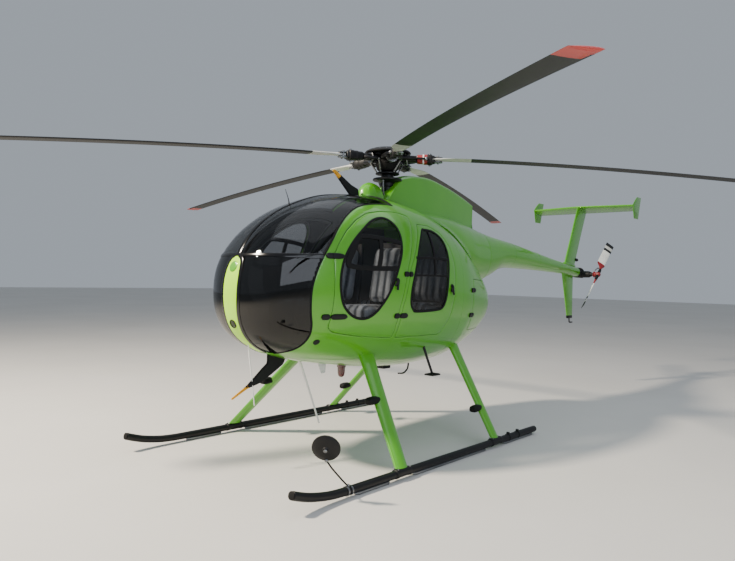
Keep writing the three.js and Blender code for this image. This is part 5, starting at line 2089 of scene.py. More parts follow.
@dataclass
class Tail:
    """Boom, fins, stabilizer, gearbox and the two-blade tail rotor."""

    boom: Array = field(default_factory=lambda: np.array([
        # y, top, bottom, half width
        (1.6003, 2.200, 1.590, 0.226), (1.850, 2.166, 1.668, 0.202), (2.080, 2.142, 1.752, 0.182),
        (2.360, 2.113, 1.779, 0.167), (3.960, 1.910, 1.740, 0.085), (4.520, 1.846, 1.702, 0.072),
    ]))
    hub: Spot = (0.318, 4.617, 1.740)
    angle: float = 42.2
    radius: float = 0.70
    chord: float = 0.135
    span: float = 0.804
    pitch: float = 38.0
    body: str = "tail_rotor"

    def build_boom(self) -> None:
        """Builds the boom, with bands where its sheets lap and rivets beside them."""
        piece("boom_tube", oval_loft(self.boom, 120, 56), GREEN, ["tail_boom"], sharp=45)
        bands, heads = Surface(), Surface()
        c, s = circle(56).T
        for y in (1.612, 2.34, 3.10, 3.86, 4.49):
            top, low, half = smooth_rows(self.boom, np.full(56, y))
            height = (top - low) / 2
            points = spots(half * c, y, (top + low) / 2 + height * s)
            normals = units(spots(c / half, 0.0, s / height))
            bands.join(ribbon(points, normals, 0.012, 0.0012, 0.002, True))
            heads.join(studs(points[::2] + [0, 0.022, 0], normals[::2], 0.0035, 0.0012))
        piece("boom_bands", bands, GREEN)
        piece("boom_rivets", heads, GREEN)

    def build_fins(self) -> None:
        """Builds the swept upper fin, the lower fin, the tail bumper and the fin light."""
        upper = [((0, 4.085, 1.850), (0, 4.450, 1.840), 0.046),
                 ((0, 4.301, 2.305), (0, 4.6535, 2.300), 0.042),
                 ((0, 4.522, 2.786), (0, 4.862, 2.734), 0.038)]
        piece("upper_fin_panel", foil(upper, LEFTWARD), GREEN, ["upper_fin"], sharp=60)
        # Height, leading edge, trailing edge, thickness
        lower = [(1.790, 4.020, 4.420, 0.044), (1.260, 4.185, 4.4275, 0.034), (1.105, 4.232, 4.4297, 0.030),
                 (1.086, 4.246, 4.424, 0.020), (1.080, 4.262, 4.410, 0.006)]
        piece("lower_fin_panel", foil(level_rows(lower), LEFTWARD), GREEN, ["lower_fin"], sharp=60)
        cap = [(1.100, 4.2335, 4.4310, 0.033), (1.094, 4.231, 4.434, 0.037), (1.066, 4.236, 4.434, 0.036),
               (1.058, 4.245, 4.428, 0.026), (1.056, 4.262, 4.410, 0.010)]
        piece("fin_bottom_cap", foil(level_rows(cap), LEFTWARD), BLACK, sharp=60)
        foot = [(0, 4.327, 1.075), (0, 4.328, 1.030), (0, 4.333, 1.004), (0, 4.352, 0.994), (0, 4.395, 0.993),
                (0, 4.440, 0.993)]
        piece("tail_bumper", tube(foot, [0.009, 0.009, 0.010, 0.011, 0.011, 0.009], 12, 30), BLACK)
        # Station, top, bottom, half width
        fillet = np.array([
            (4.060, 1.905, 1.880, 0.004), (4.100, 1.915, 1.868, 0.036), (4.260, 1.905, 1.850, 0.044),
            (4.440, 1.890, 1.835, 0.030), (4.470, 1.870, 1.850, 0.006),
        ])
        piece("fin_root_fillet", oval_loft(fillet, 30, 24), GREEN)
        light = [(0.016, -0.030), (0.024, 0.0), (0.024, 0.040), (0.018, 0.060), (0.003, 0.068)]
        piece("tail_light", turned(light, (0, 4.512, 1.965), (0, 1, -0.1), 24), BLACK)

    def build_stabilizer(self) -> None:
        """Builds the high stabilizer, whose leading edge sweeps back to both tips, and its end plates."""
        rows = []
        for x in np.linspace(-self.span, self.span, 25).tolist():
            share = abs(x) / self.span
            rows.append(((x, 4.550 + 0.115 * share, 2.795 - 0.005 * share), (x, 4.930, 2.722),
                         0.050 - 0.008 * share))
        piece("stabilizer_plane", foil(rows, UPWARD), GREEN, ["stabilizer"], sharp=60)
        # Height, leading edge, trailing edge, thickness
        plate_rows = [
            (2.590, 4.715, 4.885, 0.006), (2.594, 4.706, 4.893, 0.016), (2.790, 4.650, 4.950, 0.022),
            (2.860, 4.725, 4.973, 0.020), (2.918, 4.810, 4.990, 0.016), (2.925, 4.830, 4.988, 0.005),
        ]
        for side in Side:
            end = foil(level_rows(plate_rows, side.sign * self.span), LEFTWARD)
            piece(f"end_plate_{side.label}", end, GREEN, sharp=60)

    def build_gearbox(self) -> None:
        """Builds the tail gearbox: cooling ribs, cap and the output housing to the left."""
        rib = [(0.080, 4.562), (0.080, 4.567), (0.070, 4.569), (0.070, 4.577)]
        ribs = [(radius, y + 0.016 * k) for k in range(7) for radius, y in rib]
        rows = [(0.058, 4.5203), (0.062, 4.524), (0.066, 4.545), (0.078, 4.556), *ribs, (0.066, 4.680),
                (0.050, 4.688), (0.020, 4.690)]
        box = turned(rows, (0, 0, 1.766), AFT, 40)
        _, y, z = self.hub
        out = [(0.030, -0.078), (0.048, -0.074), (0.052, -0.060), (0.060, 0.060), (0.060, 0.070),
               (0.052, 0.076), (0.050, 0.180), (0.042, 0.196), (0.034, 0.200), (0.034, 0.216),
               (0.026, 0.220), (0.024, 0.2495)]
        piece("tail_gearbox_casing", box.join(turned(out, (0, y, z), LEFTWARD, 36)), BLACK, ["tail_gearbox"])
        c, s = circle(6).T
        nuts = spots(0.071, y + 0.046 * c, z + 0.046 * s)
        piece("gearbox_nuts", studs(nuts, LEFTWARD, 0.007, 0.008), STEEL)

    def build_rotor(self) -> None:
        """Builds the tail rotor: hub, fork, pitch arms and blades banded at the tips."""
        a = math.radians(self.angle)
        along = np.array([0.0, math.cos(a), math.sin(a)])
        across = np.array([0.0, -math.sin(a), math.cos(a)])
        hub = np.array(self.hub)
        flange = [(0.030, -0.0675), (0.045, -0.066), (0.049, -0.058), (0.036, -0.052), (0.030, -0.030),
                  (0.036, -0.022), (0.036, 0.020), (0.030, 0.028), (0.022, 0.030), (0.020, 0.034),
                  (0.006, 0.035)]
        piece("tail_hub_core", turned(flange, hub, LEFTWARD, 32), MAROON, ["tail_rotor_hub"], self.body)
        line = [hub + along * r for r in (-0.118, -0.06, 0.06, 0.118)]
        fork = tube(line, [0.019, 0.024, 0.024, 0.019], 20, 16)
        piece("tail_hub_fork", fork, ANODISED, body=self.body)
        rows = np.array([
            # distance, chord, thickness
            (0.1205, 0.040, 0.026), (0.150, 0.050, 0.026), (0.180, 0.095, 0.021),
            (0.205, self.chord * 0.97, 0.018), (0.230, self.chord, 0.018), (0.690, self.chord, 0.014),
            (0.697, self.chord * 0.97, 0.010), (self.radius, self.chord * 0.93, 0.003),
        ])
        at = np.unique(np.concatenate([rows[:, 0], TAIL_BANDS, [0.30], np.linspace(0.24, 0.68, 14)]))
        table = spread_sections(rows, at).tolist()
        # Maroon root, white span, then black, grey and black at the tip.
        band = np.array([1, 0, 2, 3, 2])[np.searchsorted(TAIL_BANDS, (at[:-1] + at[1:]) / 2)]
        turn, x = math.radians(self.pitch), np.array(LEFTWARD, float)
        for number, sign in ((1, 1.0), (2, -1.0)):
            out, ahead = along * sign, across * sign
            back = ahead * math.cos(turn) - x * math.sin(turn)
            flat = x * math.cos(turn) + ahead * math.sin(turn)
            blade = foil([(hub + out * r - back * 0.3 * chord, hub + out * r + back * 0.7 * chord, thick)
                          for r, chord, thick in table], flat)
            blade.quad_finish = np.repeat(band, FOIL_CORNERS)
            blade.tri_finish = np.repeat([1, 2], FOIL_CORNERS)
            node = f"tail_blade_{number}"
            piece(f"{node}_airfoil", blade, [WHITE, MAROON, BLADE, GREY], [node], self.body, sharp=60)
            arm = tube([hub + out * r + ahead * off - x * left for r, off, left in (
                (0.10, 0.02, 0.0), (0.095, 0.05, 0.02), (0.03, 0.055, 0.045))], 0.008, 12, 12)
            piece(f"tail_pitch_arm_{number}", arm, STEEL, body=self.body)

    def build(self) -> None:
        """Builds every part of the tail."""
        self.build_boom()
        self.build_fins()
        self.build_stabilizer()
        self.build_gearbox()
        self.build_rotor()


@dataclass
class LandingGear:
    """Two skid tubes on four faired legs, with their shoes, saddles and clips, and the boarding steps."""

    x: float = 1.104
    radius: float = 0.032
    axis: float = 0.052
    legs: Sequence[tuple[str, float, float, float, float, float]] = (
        # name, top station, top height, foot station, chord, depth
        ("front_strut", -0.815, 0.900, -1.141, 0.150, 0.062),
        ("rear_strut", 0.555, 0.930, 0.300, 0.116, 0.054),
    )
    top_x: float = 0.400
    toe: float = -2.322
    toe_rise: float = 0.093

    def build_skids(self) -> None:
        """Builds the skid tubes with their upturned toes, plugs, shoes, saddles and clips."""
        x, z = self.x, self.axis
        # Station, rise over the tube's straight part
        line = [(1.090, 0.0), (0.60, 0.0), (-0.20, 0.0), (-1.0, 0.0), (-1.60, 0.0), (-1.76, 0.0),
                (-1.86, 0.002), (-1.96, 0.008), (-2.06, 0.022), (-2.16, 0.042), (-2.25, 0.068),
                (self.toe, self.toe_rise)]
        skid = tube([(x, y, z + rise) for y, rise in line], self.radius, 28, 70)
        pair("skid_tube_*", skid, BLACK, ["skid_*"])
        shoes, put = Surface(), offset_place(x, 0.0, 0.0)
        for rear, front in ((-1.70, -1.30), (-1.00, 0.12), (0.45, 1.04)):
            rows = [(rear, 0, 0.006, 0.012, 0.006), (rear + 0.03, 0, 0.021, 0.012, 0.012),
                    (front - 0.03, 0, 0.021, 0.012, 0.012), (front, 0, 0.006, 0.012, 0.006)]
            shoes.join(rounded_bar(rows, put, 4.0))
        pair("skid_shoes_*", shoes, STEEL)
        saddle = [(-0.095, 0, 0.033, 0.052, 0.033), (-0.090, 0, 0.037, 0.054, 0.036),
                  (-0.060, 0, 0.039, 0.058, 0.037), (-0.052, 0, 0.039, 0.060, 0.033),
                  (0.052, 0, 0.039, 0.060, 0.033), (0.060, 0, 0.039, 0.058, 0.037),
                  (0.090, 0, 0.037, 0.054, 0.036), (0.095, 0, 0.033, 0.052, 0.033)]
        feet = [leg[3] for leg in self.legs]
        saddles = Surface()
        for foot in feet:
            saddles.join(rounded_bar(saddle, offset_place(x, foot, 0.0), 2.4, 32))
        pair("foot_saddles_*", saddles, BLACK)
        bolts = [(x + across, foot + along, 0.0915)
                 for foot in feet for across in (0.020, -0.020) for along in (-0.075, 0.075)]
        pair("saddle_bolts_*", studs(np.array(bolts), UPWARD, 0.007, 0.006), STEEL)
        clip = [(0.0318, -0.012), (0.0368, -0.012), (0.0374, 0.0), (0.0368, 0.012), (0.0318, 0.012)]
        clips = Surface()
        for y in (0.545, 0.730):
            clips.join(turned(clip, (x, y, z), AFT, 36))
            clips.join(block((x - 0.014, y - 0.009, 0.080), (x + 0.014, y + 0.009, 0.104)))
        pair("skid_clips_*", clips, BLACK, bevel=0.001)
        plug = [(0.030, 0.0), (0.030, 0.004), (0.024, 0.006), (0.003, 0.007)]
        plugs = turned(plug, (x, 1.088, z), AFT, 24)
        plugs.join(turned(plug, (x, self.toe, z + self.toe_rise), (0, -1, 0.25), 24))
        pair("skid_plugs_*", plugs, RUBBER)

    def build_legs(self) -> None:
        """Builds the faired legs and the rounded black tread pads on their fronts.

        A leg's section is an oval; it runs straight from inside the hull to the skid, narrows
        towards the foot, and flares where it enters the hull by 0.4 exp(-(share + 0.1) / 0.08).
        """
        share = np.concatenate([np.linspace(-0.10, 0.12, 12), np.linspace(0.18, 1, 12)])
        c, s = circle(36).T
        for name, top_y, top_z, foot, chord, depth in self.legs:
            start = np.array([self.top_x, top_y, top_z])
            end = np.array([self.x - 0.014, foot, 0.0925])
            x, y, z = (start + (end - start) * share[:, None]).T[:, :, None]
            scale = (1.15 - 0.23 * share + 0.4 * np.exp(-(share + 0.10) / 0.08))[:, None]
            rings = spots(x + scale * depth * 0.65 * c, y + scale * chord / 2 * s, z)
            pair(f"{name}_*_fairing", rings_surface(rings), GREEN, [f"{name}_*"])
        pads = {
            "front": (0.700, [(-1.124, 0, 0.026, 0.556, 0.016), (-1.116, 0, 0.036, 0.558, 0.026),
                              (-1.100, 0, 0.042, 0.560, 0.032), (-1.050, 0, 0.043, 0.562, 0.033),
                              (-1.015, 0, 0.038, 0.563, 0.030), (-0.985, 0, 0.026, 0.563, 0.022)]),
            "rear": (0.888, [(0.212, 0, 0.024, 0.336, 0.016), (0.219, 0, 0.034, 0.338, 0.025),
                             (0.234, 0, 0.041, 0.340, 0.031), (0.275, 0, 0.043, 0.344, 0.032),
                             (0.320, 0, 0.038, 0.346, 0.030), (0.352, 0, 0.026, 0.346, 0.022)]),
        }
        for name, (centre, rows) in pads.items():
            pair(f"{name}_tread_pad_*", rounded_bar(rows, offset_place(centre, 0.0, 0.0), 3.0, 32), RUBBER)

    def build_steps(self) -> None:
        """Builds the boarding steps: a rod down from the hull and a ribbed tread plate on each side."""
        rod = tube([(0.492, -0.101, 1.000), (0.545, -0.085, 0.845), (0.600, -0.067, 0.692)], 0.0125, 14, 12)
        rod.join(ball((0.600, -0.067, 0.692), 0.018, 0.6))
        pair("boarding_step_*_rod", rod, BLACK, ["boarding_step_*"])
        tread = block((0.555, -0.132, 0.672), (0.655, -0.002, 0.684))
        for k in range(8):
            y = -0.126 + 0.0165 * k
            tread.join(block((0.559, y, 0.684), (0.651, y + 0.006, 0.6885)))
        pair("boarding_step_*_tread", tread, BLACK, bevel=0.0015)

    def build(self) -> None:
        """Builds skids, legs and steps."""
        self.build_skids()
        self.build_legs()
        self.build_steps()


@dataclass
class Fittings:
    """Small outside parts: mirror, wire cutters, antennas, beacon, belly hook and cargo pad."""

    mirror_at: Spot = (1.085, -1.989, 0.396)
    mirror_face: Spot = (-0.55, 0.75, 0.35)
    pad_at: Spot = (0.0, -0.100, 0.6801)
    upper_cutter: Outline = ((-0.640, 2.380), (-0.905, 2.606), (-0.868, 2.618), (-0.640, 2.500),
                             (-0.540, 2.470), (-0.520, 2.380))
    lower_cutter: Outline = ((-1.640, 0.950), (-1.640, 0.857), (-1.692, 0.818), (-1.786, 0.739),
                             (-1.860, 0.680), (-2.010, 0.594), (-2.001, 0.581), (-1.846, 0.657),
                             (-1.710, 0.693), (-1.586, 0.757), (-1.458, 0.833), (-1.425, 0.900))

    def build_mirror(self) -> None:
        """Builds the skid mirror: silvered dish, dark shell, boss, stalk and two bright clamps."""
        face, at = units(np.array(self.mirror_face)), np.array(self.mirror_at)
        shell = [(0.095, 0.012), (0.100, 0.013), (0.103, 0.010), (0.103, -0.002), (0.097, -0.007),
                 (0.066, -0.016), (0.026, -0.022), (0.020, -0.030), (0.006, -0.030)]
        glass = [(0.094, 0.011), (0.077, 0.0135), (0.050, 0.016), (0.022, 0.0175), (0.002, 0.018)]
        dish = turned(shell, at, face, 48).join(turned([(0.095, 0.008), (0.095, 0.012)], at, face, 48))
        piece("mirror_shell", dish, BLACK, ["mirror"])
        piece("mirror_glass", turned([(0.094, 0.009), *glass], at, face, 48), MIRROR)
        boss = turned([(0.010, -0.031), (0.014, -0.030), (0.014, -0.036), (0.010, -0.040), (0.003, -0.041)],
                      at, face, 24)
        rim = at + units(face * face[2] - UPWARD) * 0.098 - face * 0.004
        boss.join(ball(rim, 0.015)).join(ball((1.104, -1.772, 0.090), 0.013))
        piece("mirror_boss", boss, STEEL)
        stalk = tube([rim, (1.084, -1.925, 0.243), (1.097, -1.850, 0.160), (1.104, -1.790, 0.100),
                      (1.104, -1.772, 0.086)], 0.0065, 14, 30)
        piece("mirror_stalk", stalk, BLACK)
        rings = Surface()
        for y in (-1.792, -1.752):
            rows = [(0.0318, -0.007), (0.0368, -0.007), (0.0375, 0.0), (0.0368, 0.007), (0.0318, 0.007)]
            rings.join(turned(rows, (1.104, y, 0.052), (0, 1, 0), 36))
        piece("mirror_clamps", rings, STEEL)

    def cutter(self, name: str, outline: Outline, node: str, tip: float, towards: float) -> None:
        """Builds a wire cutter: a bevelled black blade with a yellow point.

        Args:
            name: The cutter's name.
            outline: Its side-view outline.
            node: The CAD node that it stands for.
            tip: The height past which it is yellow.
            towards: The sign of the side of the tip.
        """
        line = spaced(np.array(outline, float), 0.02)

        def place(flat: Array, x: float) -> Array:
            """Points in space for side-view points and a distance from the middle."""
            return spots(x, flat[:, 0], flat[:, 1])

        blade = plate(line, place, -0.003, 0.003).join(plate(inset(line, 0.012), place, -0.0075, 0.0075))
        for faces, attribute in ((blade.tris, "tri_finish"), (blade.quads, "quad_finish")):
            beyond = (blade.points[faces].mean(1)[:, 2] - tip) * towards > 0
            setattr(blade, attribute, beyond.astype(int))
        piece(name, blade, [BLACK, YELLOW], [node], bevel=0.0012)

    def antennas(self) -> None:
        """Builds the whips, the roof post, the belly hook, the blade antenna and the beacon."""
        # Name, points along it, radii, finish
        rods = [
            ("roof_post", [(0, -1.43, 2.225), (0, -1.435, 2.27), (0, -1.475, 2.36)],
             [0.007, 0.004, 0.002], BLACK),
            ("nose_whip", [(0, -1.842, 1.045), (0, -1.838, 0.993), (0, -1.803, 0.760), (0, -1.766, 0.507)],
             [0.007, 0.0065, 0.0055, 0.005], WHITE),
            ("belly_whip", [(0, -1.290, 0.900), (0, -1.220, 0.748), (0, -1.140, 0.570), (0, -1.002, 0.245)],
             [0.012, 0.0115, 0.0095, 0.008], WHITE),
            ("belly_hook", [(0, 0.332, 0.800), (0, 0.321, 0.662), (0, 0.290, 0.618), (0, 0.237, 0.594),
                            (0, 0.150, 0.600)], [0.009, 0.009, 0.009, 0.009, 0.007], BLACK),
        ]
        for name, path, radii, finish in rods:
            piece(name, tube(path, radii, 12, 24), finish)
        base = [(0.020, 0.03), (0.018, 0.012), (0.012, 0.0), (0.008, -0.012)]
        piece("belly_whip_base", turned(base, (0, -1.283, 0.890), sides=20), WHITE)
        rows = level_rows([(0.83, -1.045, -0.925, 0.018), (0.715, -1.000, -0.935, 0.010),
                           (0.705, -0.985, -0.945, 0.003)])
        piece("blade_antenna", foil(rows, LEFTWARD), GLASS, sharp=60)
        rows = [(0.044, 0.80), (0.044, 0.742), (0.038, 0.738), (0.036, 0.690), (0.030, 0.662), (0.016, 0.648),
                (0.003, 0.645)]
        piece("belly_beacon", turned(rows, (0, -0.72, 0), sides=32), BEACON)

    def cargo_pad(self) -> None:
        """Builds the cargo hook's pad, a square plate with rounded corners."""
        rows = [(0, 0, 0.058, 0, 0.058), (0.004, 0, 0.060, 0, 0.060), (0.070, 0, 0.060, 0, 0.060)]
        piece("cargo_hook_plate", rounded_bar(rows, upright_place(*self.pad_at), 8.0, 40), BLACK,
              ["cargo_hook_pad"])

    def build(self) -> None:
        """Builds every fitting."""
        self.build_mirror()
        self.cutter("upper_cutter_blade", self.upper_cutter, "upper_wire_cutter", 2.555, 1.0)
        self.cutter("lower_cutter_blade", self.lower_cutter, "lower_wire_cutter", 0.672, -1.0)
        self.antennas()
        self.cargo_pad()


@dataclass
class Cabin:
    """Seats with their cushions, the instrument pedestal and the cyclic sticks."""

    floor: float = 1.040
    # Name, inner x, outer x, front, back, cushion height, top, lean
    seats: Sequence[tuple[str, float, float, float, float, float, float, float]] = (
        ("front_seat_left", 0.060, 0.520, -0.950, -0.470, 1.330, 1.960, 0.110),
        ("front_seat_right", -0.520, -0.060, -0.950, -0.470, 1.330, 1.960, 0.110),
        ("rear_seat", -0.530, 0.530, -0.060, 0.330, 1.340, 1.900, 0.090),
    )

    def cushion(self, name: str, low: Array, high: Array, lean: float) -> None:
        """Builds one cushion: a block of rounded corners, puffed by cloth under pressure.

        The start is a squared ball: cosine and sine of both its turns are raised to the power 0.32,
        kept in sign, which fills out the corners. It leans back with height.

        Args:
            name: The cushion's name.
            low: Its lowest corner.
            high: Its highest corner.
            lean: How far its top leans back.
        """
        middle, half = (low + high) / 2, (high - low) / 2
        a = np.linspace(-np.pi / 2 + 0.02, np.pi / 2 - 0.02, 25)[:, None]
        wide, tall = signed_power(np.cos(a), 0.32), signed_power(np.sin(a), 0.32)
        c, s = signed_power(circle(48), 0.32).T
        rings = middle + spots(wide * c, wide * s, tall) * half * 0.955
        rings[..., 1] += lean * (rings[..., 2] - low[2]) / max(high[2] - low[2], 1e-6)
        obj = piece(name, rings_surface(rings), CLOTH, sharp=180)
        self.puff(obj)
        smoothing = obj.modifiers.new("smooth", "SUBSURF")
        smoothing.levels = smoothing.render_levels = 1

    @staticmethod
    def puff(obj: bpy.types.Object) -> None:
        """Remeshes a cushion, swells it as cloth for twenty frames and keeps a capped move.

        Args:
            obj: The cushion.
        """
        scene = bpy.context.scene
        remesh = obj.modifiers.new("remesh", "REMESH")
        remesh.mode = "VOXEL"
        remesh.voxel_size = 0.010
        apply_modifiers(obj)
        count = len(obj.data.vertices)
        before = np.empty(count * 3, np.float32)
        obj.data.vertices.foreach_get("co", before)
        cloth = obj.modifiers.new("cloth", "CLOTH")
        cloth.settings.use_pressure = True
        cloth.settings.uniform_pressure_force = 4.0
        cloth.settings.effector_weights.gravity = 0.0
        cloth.point_cache.frame_start = 1
        cloth.point_cache.frame_end = 20
        for frame_number in range(1, 21):
            scene.frame_set(frame_number)
        apply_modifiers(obj)
        after = np.empty(count * 3, np.float32)
        obj.data.vertices.foreach_get("co", after)
        move = (after - before).reshape(-1, 3)
        far = np.linalg.norm(move, axis=1, keepdims=True)
        move *= np.minimum(1.0, 0.022 / np.maximum(far, 1e-9))
        obj.data.vertices.foreach_set("co", (before.reshape(-1, 3) + move).ravel())
        obj.data.update()
        obj.data.shade_smooth()
        scene.frame_set(1)

    def seat(self, name: str, x0: float, x1: float, front: float, back: float, top_of_pan: float,
             top: float, lean: float) -> None:
        """Builds a seat: its box, its back shell and its cushions.

        Args:
            name: The seat's node.
            x0: One side.
            x1: The other side.
            front: Station of its front.
            back: Station of its back.
            top_of_pan: Height of the cushion's top.
            top: Height of the back's top.
            lean: How far the back leans.
        """
        rear = name == "rear_seat"
        box_half = (x1 - x0) / 2 - (0.05 if rear else 0.02)
        centre = (front + back + 0.1) / 2
        put = upright_place((x0 + x1) / 2, centre, self.floor)
        reach = (back + 0.1 - front) / 2 - 0.01
        rows = [(0.002, 0, box_half * 0.98, 0, reach), (0.012, 0, box_half, 0, reach),
                (top_of_pan - self.floor - 0.115, 0, box_half, 0, reach),
                (top_of_pan - self.floor - 0.10, 0, box_half * 0.98, 0, reach * 0.99)]
        shell = rounded_bar(rows, put, 8.0, 48)
        if not rear:
            z = np.linspace(top_of_pan - 0.09, top - 0.01, 12)
            share = (z - top_of_pan) / (top - top_of_pan)
            width = box_half * (1 - 0.22 * np.clip(share, 0, 1) ** 2)
            deep = back + 0.055 + lean * share
            rows = np.stack(np.broadcast_arrays(z - self.floor, 0.0, width, deep - centre, 0.024), -1)
            shell.join(rounded_bar(rows, put, 6.0, 40))
        piece(f"{name}_shell", shell, TRIM, [name])
        parts = [(x0, x1)] if not rear else [(x0 + 0.03, -0.006), (0.006, x1 - 0.03)]
        for k, (a, b) in enumerate(parts, 1):
            tag = f"{name}_{k}" if rear else name
            low = np.array([a + 0.02, front + 0.005, top_of_pan - 0.105])
            high = np.array([b - 0.02, back + 0.03, top_of_pan + 0.005])
            self.cushion(f"{tag}_cushion", low, high, 0.0)
            inset_top = 0.045 if not rear else 0.02
            low = np.array([a + inset_top, back - 0.055, top_of_pan + 0.01])
            high = np.array([b - inset_top, back + 0.035, top - 0.03])
            self.cushion(f"{tag}_back", low, high, lean * 0.95)

    def panel(self) -> None:
        """Builds the pedestal and instrument head, with its dials."""

        def put(along: Number, across: Number, back: Number) -> Array:
            """Points in space for height over the floor, across and back; the head leans forward."""
            lean = 0.10 * (along - 0.4) * (along > 0.4)
            return spots(across, -1.495 + back - lean, self.floor + along)

        rows = [(0.001, 0, 0.100, 0, 0.062), (0.010, 0, 0.104, 0, 0.064), (0.390, 0, 0.104, 0, 0.060),
                (0.420, 0, 0.150, -0.012, 0.050), (0.450, 0, 0.186, -0.022, 0.044),
                (0.620, 0, 0.188, -0.008, 0.040), (0.642, 0, 0.180, 0.0, 0.036)]
        piece("instrument_pedestal", rounded_bar(rows, put, 6.0, 48), TRIM, ["instrument_panel"])
        # Dial x, height, radius
        dials = [(-0.120, 1.640, 0.040), (-0.030, 1.645, 0.040), (0.060, 1.645, 0.040), (0.140, 1.640, 0.034),
                 (-0.120, 1.550, 0.036), (-0.030, 1.552, 0.040), (0.060, 1.552, 0.036), (0.140, 1.555, 0.030)]
        rims, faces = Surface(), Surface()
        for x, z, r in dials:
            at = (x, -1.468 - 0.10 * (z - 1.44), z)
            rim = [(r - 0.004, -0.006), (r, -0.006), (r, 0.006), (r - 0.004, 0.008), (r - 0.006, 0.002)]
            face = [(r - 0.005, -0.002), (r - 0.006, 0.003), (0.002, 0.0035)]
            rims.join(turned(rim, at, (0, 1, 0.1), 28))
            faces.join(turned(face, at, (0, 1, 0.1), 28))
        piece("dial_rims", rims, BLACK)
        piece("dial_faces", faces, GLASS)

    def sticks(self) -> None:
        """Builds the two cyclic sticks, each an S-bent rod with a moulded grip."""
        x = 0.290
        path = [(x, -1.02, 1.045), (x, -1.06, 1.18), (x, -1.16, 1.34), (x, -1.15, 1.48)]
        pair("cyclic_*", tube(path, [0.012, 0.011, 0.010, 0.010], 14, 30), ANODISED)
        path = [(x, -1.152, 1.47), (x, -1.148, 1.53), (x, -1.156, 1.585)]
        pair("cyclic_grip_*", tube(path, [0.016, 0.020, 0.018], 16, 16), RUBBER)

    def build(self) -> None:
        """Builds seats, panel and sticks."""
        for row in self.seats:
            self.seat(*row)
        self.panel()
        self.sticks()


def apply_modifiers(obj: bpy.types.Object) -> None:
    """Makes an object's modified shape its own mesh and clears its modifiers.

    Args:
        obj: The object.
    """
    graph = bpy.context.evaluated_depsgraph_get()
    graph.update()
    made = bpy.data.meshes.new_from_object(obj.evaluated_get(graph), depsgraph=graph)
    old = obj.data
    obj.modifiers.clear()
    obj.data = made
    made.name = old.name
    if not made.materials:
        for material in old.materials:
            made.materials.append(material)


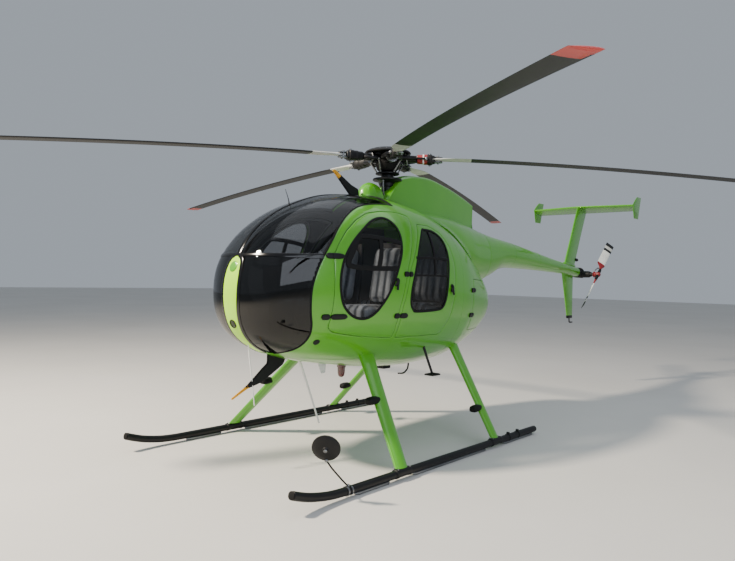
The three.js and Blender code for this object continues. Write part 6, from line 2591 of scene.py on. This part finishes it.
@dataclass
class Studio:
    """The pale floor, the soft lights and the camera of the photograph."""

    place: Spot = (4.308, -5.216, 1.602)
    azimuth: float = 41.629
    pitch: float = -0.652
    roll: float = 1.329
    focal: float = 648.277
    rise: float = 5.0

    def camera(self) -> None:
        """Sets the camera where the photograph was taken from.

        It looks along azimuth and pitch, then rolls; its lens comes from a focal length in pixels
        of the photograph's width.
        """
        a, p, r = (math.radians(v) for v in (self.azimuth, self.pitch, self.roll))
        ahead = Vector((-math.sin(a) * math.cos(p), math.cos(a) * math.cos(p), math.sin(p)))
        right = Vector((math.cos(a), math.sin(a), 0.0))
        up = right.cross(ahead)
        turned_right = right * math.cos(r) + up * math.sin(r)
        turned_up = up * math.cos(r) - right * math.sin(r)
        data = bpy.data.cameras.new("camera")
        data.sensor_fit = "HORIZONTAL"
        data.sensor_width = SENSOR_MM
        data.lens = self.focal / PHOTO_WIDTH * SENSOR_MM
        data.shift_y = self.rise / PHOTO_WIDTH
        data.clip_end = 200.0
        obj = bpy.data.objects.new("camera", data)
        basis = Matrix((turned_right, turned_up, -ahead)).transposed().to_4x4()
        basis.translation = Vector((np.array(self.place) - DATUM).tolist())
        obj.matrix_world = basis
        bpy.context.scene.collection.objects.link(obj)
        bpy.context.scene.camera = obj

    def lights(self) -> None:
        """Sets a high key light ahead of the nose, a broad fill, a light overhead and a pale sky."""
        # Name, place, aim, width, height, watts, colour
        rows = [
            ("key", (-4.0, -7.8, 8.6), (0.2, -0.5, 1.6), 1.0, 1.0, 3000.0, "#FFF1DC"),
            ("fill", (7.5, -3.5, 4.5), (0.0, 0.0, 1.4), 6.0, 5.0, 260.0, "#EAF2FF"),
            ("top", (0.5, 1.0, 9.0), (0.0, 0.8, 0.0), 9.0, 9.0, 260.0, "#F4F8FF"),
        ]
        for name, place, aim, wide, high, watts, colour in rows:
            data = bpy.data.lights.new(name, "AREA")
            data.shape = "ELLIPSE" if name == "key" else "RECTANGLE"
            data.size, data.size_y = wide, high
            data.energy = watts
            data.color = linear(colour)[:3]
            obj = bpy.data.objects.new(name, data)
            at, to = (Vector((np.array(spot) - DATUM).tolist()) for spot in (place, aim))
            turn = (to - at).to_track_quat("-Z", "Y").to_matrix().to_4x4()
            obj.matrix_world = Matrix.Translation(at) @ turn
            bpy.context.scene.collection.objects.link(obj)
        world = bpy.data.worlds.new("soft_sky")
        world.use_nodes = True
        back = world.node_tree.nodes["Background"]
        back.inputs["Color"].default_value = linear("#DCE6F2")
        back.inputs["Strength"].default_value = 0.5
        bpy.context.scene.world = world

    def floor(self) -> None:
        """Lays the plain pale floor under the skids."""
        reach, z = 60.0, -float(DATUM[2])
        corners = [(-reach, -reach, z), (reach, -reach, z), (reach, reach, z), (-reach, reach, z)]
        mesh = bpy.data.meshes.new("studio_floor")
        mesh.from_pydata(corners, [], [(0, 1, 2, 3)])
        mesh.materials.append(FLOOR.material())
        obj = bpy.data.objects.new("studio_floor", mesh)
        bpy.context.scene.collection.objects.link(obj)

    def build(self) -> None:
        """Sets up camera, lights and floor."""
        self.camera()
        self.lights()
        self.floor()


def finish_nodes() -> None:
    """Gives every CAD node a real finish, seen or hidden."""
    by_node = {"engine": STEEL, "exhaust_pipe": EXHAUST}
    slots = {part["node"]: part["material_slot"] for part in frame["record"]["subparts"]}
    by_slot = {Slot.GREEN.value: GREEN, Slot.BLACK.value: BLACK, Slot.GLAZING.value: SMOKE,
               Slot.STEEL.value: STEEL, Slot.CLOTH.value: TRIM, Slot.PALE.value: GREY}
    for node, obj in frame["nodes"].items():
        finish = by_node.get(node, by_slot.get(slots.get(node, ""), BLACK))
        obj.data.materials.clear()
        obj.data.materials.append(finish.material())


def main() -> None:
    """Builds the aircraft piece by piece and reports each group."""
    logging.basicConfig(level=logging.INFO, format="%(name)s: %(message)s")
    Studio().build()
    finish_nodes()
    shell, panels = Fuselage(), doors()
    shell.shell(panels)
    shell.cap()
    shell.floor_and_bulkhead()
    shell.seams()
    shell.rivets()
    shell.fittings()
    log.info("fuselage built")
    canopy = Canopy()
    canopy.panes(shell)
    canopy.frame(shell)
    canopy.nose_strip()
    canopy.lamps()
    log.info("canopy built")
    for door in panels:
        door.build()
        log.info("%s built", door.body)
    works = UpperWorks()
    works.build_deck()
    works.build_fairing()
    works.build_inlet()
    works.build_mast()
    log.info("upper works built")
    for group in (MainRotor(), Tail(), LandingGear(), Fittings(), Cabin()):
        group.build()
        log.info("%s built", type(group).__name__)


if __name__ == "__main__":
    main()
